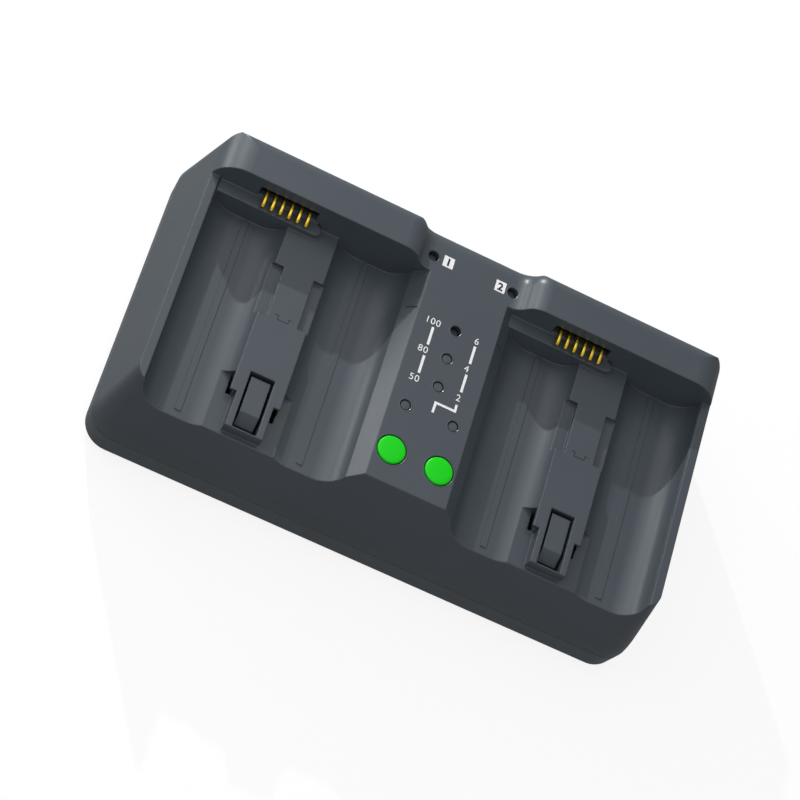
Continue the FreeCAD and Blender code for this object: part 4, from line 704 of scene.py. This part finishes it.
low, high, _ = place_of("case_screws")
section = screw_section(low[2], high[2])
master = make_piece("screw_master", None, lambda shape: turned(shape, section, 0, 0, 40), smooth=30)
screw_x, screw_y = high[0] - HEAD_RADIUS, high[1] - HEAD_RADIUS
screws = set_out("cross_head_screws", "case", master, Columns=2, Rows=2,
                 Column_Pitch=2 * screw_x * MM, Row_Pitch=2 * screw_y * MM, Centre=(0, 0, 0),
                 Turn=0.7, Seed=3, Finish=zinc)
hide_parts("case_screws")

# %% [markdown]
# ## The turns of the choke
# The choke is a ring of ferrite with about twenty turns of enamelled wire threaded through it. One
# turn is a rounded loop that hugs the ring's square section, bent from a rod of eight sides. The loops
# are set out round the ring by a second group, a little unevenly, as wire wound by hand.

# %% A group for rings
SLIP = 0.03
RING, ask = new_group("set_out_round_a_ring", [
    ("Piece", "Object"), ("Count", "Int"), ("Ring Radius", "Float"), ("Centre", "Vector"),
    ("Seed", "Int"), ("Finish", "Material")])
index = add(RING, "GeometryNodeInputIndex").outputs[0]
share = add(RING, "ShaderNodeMath", {0: index, 1: ask["Count"]}, operation="DIVIDE").outputs[0]
angle = add(RING, "ShaderNodeMath", {0: share, 1: 2 * math.pi}, operation="MULTIPLY").outputs[0]
uneven = add(RING, "FunctionNodeRandomValue", {"Seed": ask["Seed"]}, data_type="FLOAT")
for socket in uneven.inputs:
    if socket.name in ("Min", "Max") and socket.type == "VALUE":
        socket.default_value = -SLIP if socket.name == "Min" else SLIP
angle = add(RING, "ShaderNodeMath", {0: angle, 1: value_of(uneven)}, operation="ADD").outputs[0]
across = []
for wave in ("COSINE", "SINE"):
    reach = add(RING, "ShaderNodeMath", {0: angle}, operation=wave).outputs[0]
    across.append(add(RING, "ShaderNodeMath", {0: reach, 1: ask["Ring Radius"]}, operation="MULTIPLY"))
spot = add(RING, "ShaderNodeCombineXYZ", {"X": across[0].outputs[0], "Y": across[1].outputs[0]})
spot = add(RING, "ShaderNodeVectorMath", {0: spot.outputs[0], 1: ask["Centre"]}, operation="ADD")
heading = add(RING, "ShaderNodeCombineXYZ", {"Z": angle})
copy_onto(RING, ask, ask["Count"], spot.outputs[0], heading.outputs[0])
print("the ring group has", len(RING.nodes), "nodes")

# %% Wind the choke
RING_RADIUS, CORE_HALF, WIRE_RADIUS, WIRE_SIDES = 5.6, 1.9, 0.25, 8
LOOP_HALF_WIDE, LOOP_CORNER = 2.6, 0.65
low, high, (choke_x, choke_y, choke_z) = place_of("mains_choke")
loop_half_tall = (high[2] - low[2]) / 2


def ring_core(shape):
    """The ferrite ring: a rectangle swept round the choke's axis."""
    tall = loop_half_tall - 0.7
    corners = [(-CORE_HALF, -tall), (CORE_HALF, -tall), (CORE_HALF, tall), (-CORE_HALF, tall)]
    section = [(RING_RADIUS + out, choke_z + up) for out, up in corners + corners[:1]]
    turned(shape, section, choke_x, choke_y, 48)


def loop(shape):
    """One turn of wire round the core's section."""
    wide, tall = LOOP_HALF_WIDE - 0.9, loop_half_tall - 0.95
    corners = []
    for start, (px, pz) in enumerate([(wide, tall), (-wide, tall), (-wide, -tall), (wide, -tall)]):
        corners += corner_arc(px, pz, LOOP_CORNER, 90 * start, 90 * start + 90, 3)
    rings = []
    for px, pz in corners:
        out = Vector((px, 0, pz)).normalized()
        turns = [2 * math.pi * k / WIRE_SIDES for k in range(WIRE_SIDES)]
        rings.append([shape.verts.new(((px + out.x * WIRE_RADIUS * math.cos(a)) * MM,
                                       WIRE_RADIUS * math.sin(a) * MM,
                                       (pz + out.z * WIRE_RADIUS * math.cos(a)) * MM)) for a in turns])
    for near, far in zip(rings, rings[1:] + rings[:1]):
        for k in range(WIRE_SIDES):
            j = (k + 1) % WIRE_SIDES
            shape.faces.new([near[k], near[j], far[j], far[k]])


core = make_piece("choke_ring_core", "case", ring_core, ferrite)
master = make_piece("loop_master", None, loop, smooth=60)
turns = set_out("choke_wire_turns", "case", master, group=RING, Count=22,
                Ring_Radius=RING_RADIUS * MM, Centre=(choke_x * MM, choke_y * MM, choke_z * MM),
                Seed=11, Finish=winding)
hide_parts("mains_choke")
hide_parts("mains_choke")

# %% [markdown]
# ## The printed scale
# The console carries a white scale, screen printed: a squeegee pushes thick ink through a mesh, which
# leaves a layer a few hundredths of a millimetre high with slightly soft edges and a dull surface.
# Two ladders of bars run beside the three level lights, with a plain number at each light. Two white
# tiles at the rear number the bays. Ink that thin is a flat mesh, lifted 0.02 mm off the console.
# Four equal bars are one master set out on a grid; the bent line joins the ladder to the last light.

# %% White ink
ink, tree, place = new_material("screen_printed_white_ink")
mesh_marks, tint, rough = vary(tree, place, 0.35, 3.0, two_tone("ECEEEF", "FAFBFB"), (0.45, 0.6))
shade(tree, tint, rough, skin(tree, mesh_marks, 0.4, 0.004), {"Specular IOR Level": 0.35})
print("ink:", ink.name)

# %% Print the bars, the bent line and the tiles
INK_LIFT = 0.02
INK = CONSOLE_TOP + INK_LIFT
BAR_HALF, BAR_PITCH, BAR_CENTRE = (0.37, 2.8), (12.67, 9.07), (0.035, 3.85)
LINE_WIDTH, LINE = 0.7, [(6.25, -7.55), (6.28, -9.6), (0.57, -9.6), (0.5, -12.7)]
TILES = ((-9.2, 30.1, -6.1, 33.5), (6.7, 30.1, 9.75, 33.55))


def inked_line(shape, spots, width, height=INK):
    """One thin line through the spots, in mm, with its corners mitred."""
    left, right = [], []
    for i, spot in enumerate(spots):
        first = max(i - 1, 0)
        runs = [(Vector(b) - Vector(a)).normalized()
                for a, b in zip(spots[first:i + 1], spots[first + 1:i + 2])]
        sides = [Vector((-run.y, run.x)) for run in runs]
        out = sum(sides, Vector((0, 0))).normalized()
        out *= width / 2 / out.dot(sides[0])
        left.append(Vector(spot) + out)
        right.append(Vector(spot) - out)
    for corners in zip(right, right[1:], left[1:], left):
        shape.faces.new([shape.verts.new((p.x * MM, p.y * MM, height * MM)) for p in corners])


def tile(shape, x0, y0, x1, y1):
    """A flat inked rectangle."""
    corners = ((x0, y0), (x1, y0), (x1, y1), (x0, y1))
    shape.faces.new([shape.verts.new((x * MM, y * MM, INK * MM)) for x, y in corners])


def line_and_tiles(shape):
    inked_line(shape, LINE, LINE_WIDTH)
    for corners in TILES:
        tile(shape, *corners)


wide, tall = BAR_HALF
master = make_piece("bar_master", None, lambda shape: tile(shape, -wide, -tall, wide, tall))
set_out("printed_bars", "case", master, Columns=2, Rows=2, Column_Pitch=BAR_PITCH[0] * MM,
        Row_Pitch=BAR_PITCH[1] * MM, Centre=(BAR_CENTRE[0] * MM, BAR_CENTRE[1] * MM, 0),
        Turn=0.0, Seed=2, Finish=ink)
make_piece("printed_line_and_tiles", "case", line_and_tiles, ink)

# %% [markdown]
# ## The printed numbers
# The numbers are set in a plain upright face, about 2 mm tall. Lettering starts as a curve, because
# that is how type is drawn, and becomes a flat mesh before it is put in its place. The numbers on the
# two tiles are left out of the white ink on the real thing, so the dark case shows through. They are
# drawn here as dark figures a hair above the white.

# %% Set the numbers
FIGURE_SHARE, LETTER_SPACE, BOLD = 0.69, 1.12, 0.11
SCALE_NUMBERS = [("100", -9.1, 11.9), ("80", -8.7, 2.85), ("50", -8.6, -6.25),
                 ("6", 5.7, 11.9), ("4", 5.2, 2.85), ("2", 5.4, -6.4)]
BAY_NUMBERS = [("1", -7.65, 30.7), ("2", 8.22, 30.7)]


def number(text, x, y, tall, height, weight=0.0, across="LEFT"):
    """A number as a flat mesh with its lower left, or lower middle, at x and y in mm."""
    curve = bpy.data.curves.new("type_" + text, "FONT")
    curve.body, curve.align_x = text, across
    curve.size, curve.space_character = tall / FIGURE_SHARE * MM, LETTER_SPACE
    curve.offset = weight * MM
    holder = link(bpy.data.objects.new("type_" + text, curve))
    view = bpy.context.evaluated_depsgraph_get()
    mesh = bpy.data.meshes.new_from_object(holder.evaluated_get(view))
    mesh.transform(Matrix.Translation((x * MM, y * MM, height * MM)))
    bpy.data.objects.remove(holder)
    return mesh


def join_meshes(name, meshes, material):
    """Joins the meshes into one piece of the case."""
    shape = bmesh.new()
    for mesh in meshes:
        shape.from_mesh(mesh)
        bpy.data.meshes.remove(mesh)
    result = bpy.data.meshes.new(name)
    shape.to_mesh(result)
    shape.free()
    result.materials.clear()
    result.materials.append(material)
    piece = link(bpy.data.objects.new(name, result))
    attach(piece, "case")
    return piece


white = [number(text, x, y, 1.95, INK) for text, x, y in SCALE_NUMBERS]
join_meshes("printed_numbers", white, ink)
dark = [number(text, x, y, 2.2, INK + INK_LIFT, BOLD, "CENTER") for text, x, y in BAY_NUMBERS]
join_meshes("bay_numbers", dark, black_nylon)
print("printed", len(SCALE_NUMBERS), "scale numbers and", len(BAY_NUMBERS), "bay numbers")

# %% [markdown]
# ## The seams of the snap windows
# In the middle of each rail the mould closes round the slot of a hidden snap. It leaves a seam in the
# shape of a shallow hat, a fifth of a millimetre wide. A groove that fine holds only shade, so the shade
# is painted: a thin line of black finish a hair above the rail.

# %% Draw the two seams
RAIL_TOP, SEAM_WIDTH = 33.4, 0.2
HAT = [(-2.55, -2.85), (-1.5, -2.85), (-1.5, -4.05), (1.55, -4.05), (1.55, -2.85), (2.5, -2.85)]


def paint_seam_shade(shape):
    for middle in BAY_MIDDLES.values():
        spots = [(middle + x, y) for x, y in HAT]
        inked_line(shape, spots, SEAM_WIDTH, RAIL_TOP + INK_LIFT)


# The black finish here is painted shade for the seam's groove.
seams = make_piece("snap_window_seams", "case", paint_seam_shade, black_nylon)
print("drew the seams:", len(seams.data.polygons), "faces")

# %% [markdown]
# ## The studio's glow
# The charger stands on white paper. The paper and the air glow for the camera alone, on top of the
# light that they catch: the picture's ground looks white, keeps the soft shadow under the charger, and
# sends no glow back onto the dark plastic. Gloss and glass see a part of that glow.

# %% Paper and air
CAMERA_GLOW, GLOSS_GLOW, PAPER_HALF = 0.86, 0.16, 3
floor_mesh = bpy.data.meshes.new("studio_paper")
floor_corners = [(x * PAPER_HALF, y * PAPER_HALF, 0) for x, y in ((-1, -1), (1, -1), (1, 1), (-1, 1))]
floor_mesh.from_pydata(floor_corners, [], [(0, 1, 2, 3)])
floor = link(bpy.data.objects.new("studio_paper", floor_mesh))


def glow_for(tree, camera_glow):
    """The strength of the white that the camera sees, and a part of it for gloss and glass."""
    path = add(tree, "ShaderNodeLightPath").outputs
    gloss = add(tree, "ShaderNodeMath", {0: path["Is Glossy Ray"], 1: path["Is Transmission Ray"]},
                operation="MAXIMUM")
    part = add(tree, "ShaderNodeMath", {0: gloss.outputs[0], 1: GLOSS_GLOW}, operation="MULTIPLY")
    straight = add(tree, "ShaderNodeMath", {0: path["Is Camera Ray"], 1: camera_glow},
                   operation="MULTIPLY")
    both = add(tree, "ShaderNodeMath", {0: part.outputs[0], 1: straight.outputs[0]}, operation="ADD")
    return both.outputs[0]


paper, tree, place = new_material("white_studio_paper")
fibre = add(tree, "ShaderNodeTexNoise", {"Vector": place, "Scale": per_mm(2), "Detail": 4.0})
tint = add(tree, "ShaderNodeValToRGB", {"Fac": fibre.outputs["Fac"]}, two_tone("6E6E6E", "747474"))
sheet = add(tree, "ShaderNodeBsdfDiffuse", {"Color": tint.outputs["Color"]})
glow = add(tree, "ShaderNodeEmission", {"Color": (1, 1, 1, 1),
                                        "Strength": glow_for(tree, CAMERA_GLOW)})
lit_paper = add(tree, "ShaderNodeAddShader", {0: sheet.outputs[0], 1: glow.outputs[0]})
add(tree, "ShaderNodeOutputMaterial", {"Surface": lit_paper.outputs[0]})
floor_mesh.materials.append(paper)

world = bpy.data.worlds.new("studio_air")
world.use_nodes = True
bpy.context.scene.world = world
tree = world.node_tree
tree.nodes.clear()
way = add(tree, "ShaderNodeTexCoord").outputs["Generated"]
up = add(tree, "ShaderNodeSeparateXYZ", {"Vector": way}).outputs["Z"]
fill = add(tree, "ShaderNodeMapRange", {"Value": up, "From Min": 0.0, "From Max": 1.0,
                                        "To Min": 0.22, "To Max": 0.38})
strength = add(tree, "ShaderNodeMath", {0: fill.outputs["Result"], 1: glow_for(tree, 1.0)},
               operation="ADD")
air = add(tree, "ShaderNodeBackground", {"Color": (1, 1, 1, 1), "Strength": strength.outputs[0]})
add(tree, "ShaderNodeOutputWorld", {"Surface": air.outputs[0]})
print("white ground: glow", CAMERA_GLOW, "for the camera and", GLOSS_GLOW, "for gloss")

# %% [markdown]
# ## The lamps
# A small lamp stands low behind the left rear corner, so each bay's rounded rear wall throws a curved
# shadow along the trough. A soft panel hangs near, over the left side: it fills those shadows, and
# fades towards the right as near lamps do. A weak low card at the left draws the bright line on the
# console's left chamfer, and another lifts the front wall.

# %% Lamps
AIM = Vector((0, 0, 30))


def soft_box(name, place, power, width):
    """A round lamp at a place in mm, aimed at the charger, with its width in mm."""
    lamp = bpy.data.lights.new(name, "AREA")
    lamp.energy, lamp.shape, lamp.size = power, "DISK", width * MM
    holder = link(bpy.data.objects.new(name, lamp))
    holder.location, holder.visible_camera = Vector(place) * MM, False
    holder.rotation_mode = "QUATERNION"
    holder.rotation_quaternion = (AIM - Vector(place)).to_track_quat("-Z", "Y")


soft_box("low_key_light", (-385, 636, 326), 4.4, 10)
soft_box("overhead_soft_panel", (-260, 80, 560), 1.72, 900)
soft_box("low_left_card", (-690, 380, 168), 1.15, 260)
soft_box("low_front_card", (120, -600, 130), 0.4, 300)
print("lights:", [thing.name for thing in bpy.data.lights])

# %% [markdown]
# ## The camera
# The camera stands in front and to the left and looks steeply down. A long lens keeps the far edge
# nearly as long as the near one, as product photographers like it. Its place and turn were solved from
# the charger's straight edges.

# %% Camera
CAMERA_PLACE, CAMERA_TURN = (-164.28, -367.43, 661.07), (23.63125, -21.91889, 16.72650)
camera_data = bpy.data.cameras.new("photo_camera")
camera_data.lens, camera_data.sensor_width = 125.76, 36.0
camera_data.clip_start, camera_data.clip_end = 0.05, 20
camera_data.shift_y = 0.0021
camera = link(bpy.data.objects.new("photo_camera", camera_data))
camera.location = [v * MM for v in CAMERA_PLACE]
camera.rotation_euler = [math.radians(a) for a in CAMERA_TURN]
bpy.context.scene.camera = camera
bpy.context.scene.view_settings.view_transform = "Standard"
print("camera at", [round(v) for v in CAMERA_PLACE], "mm")
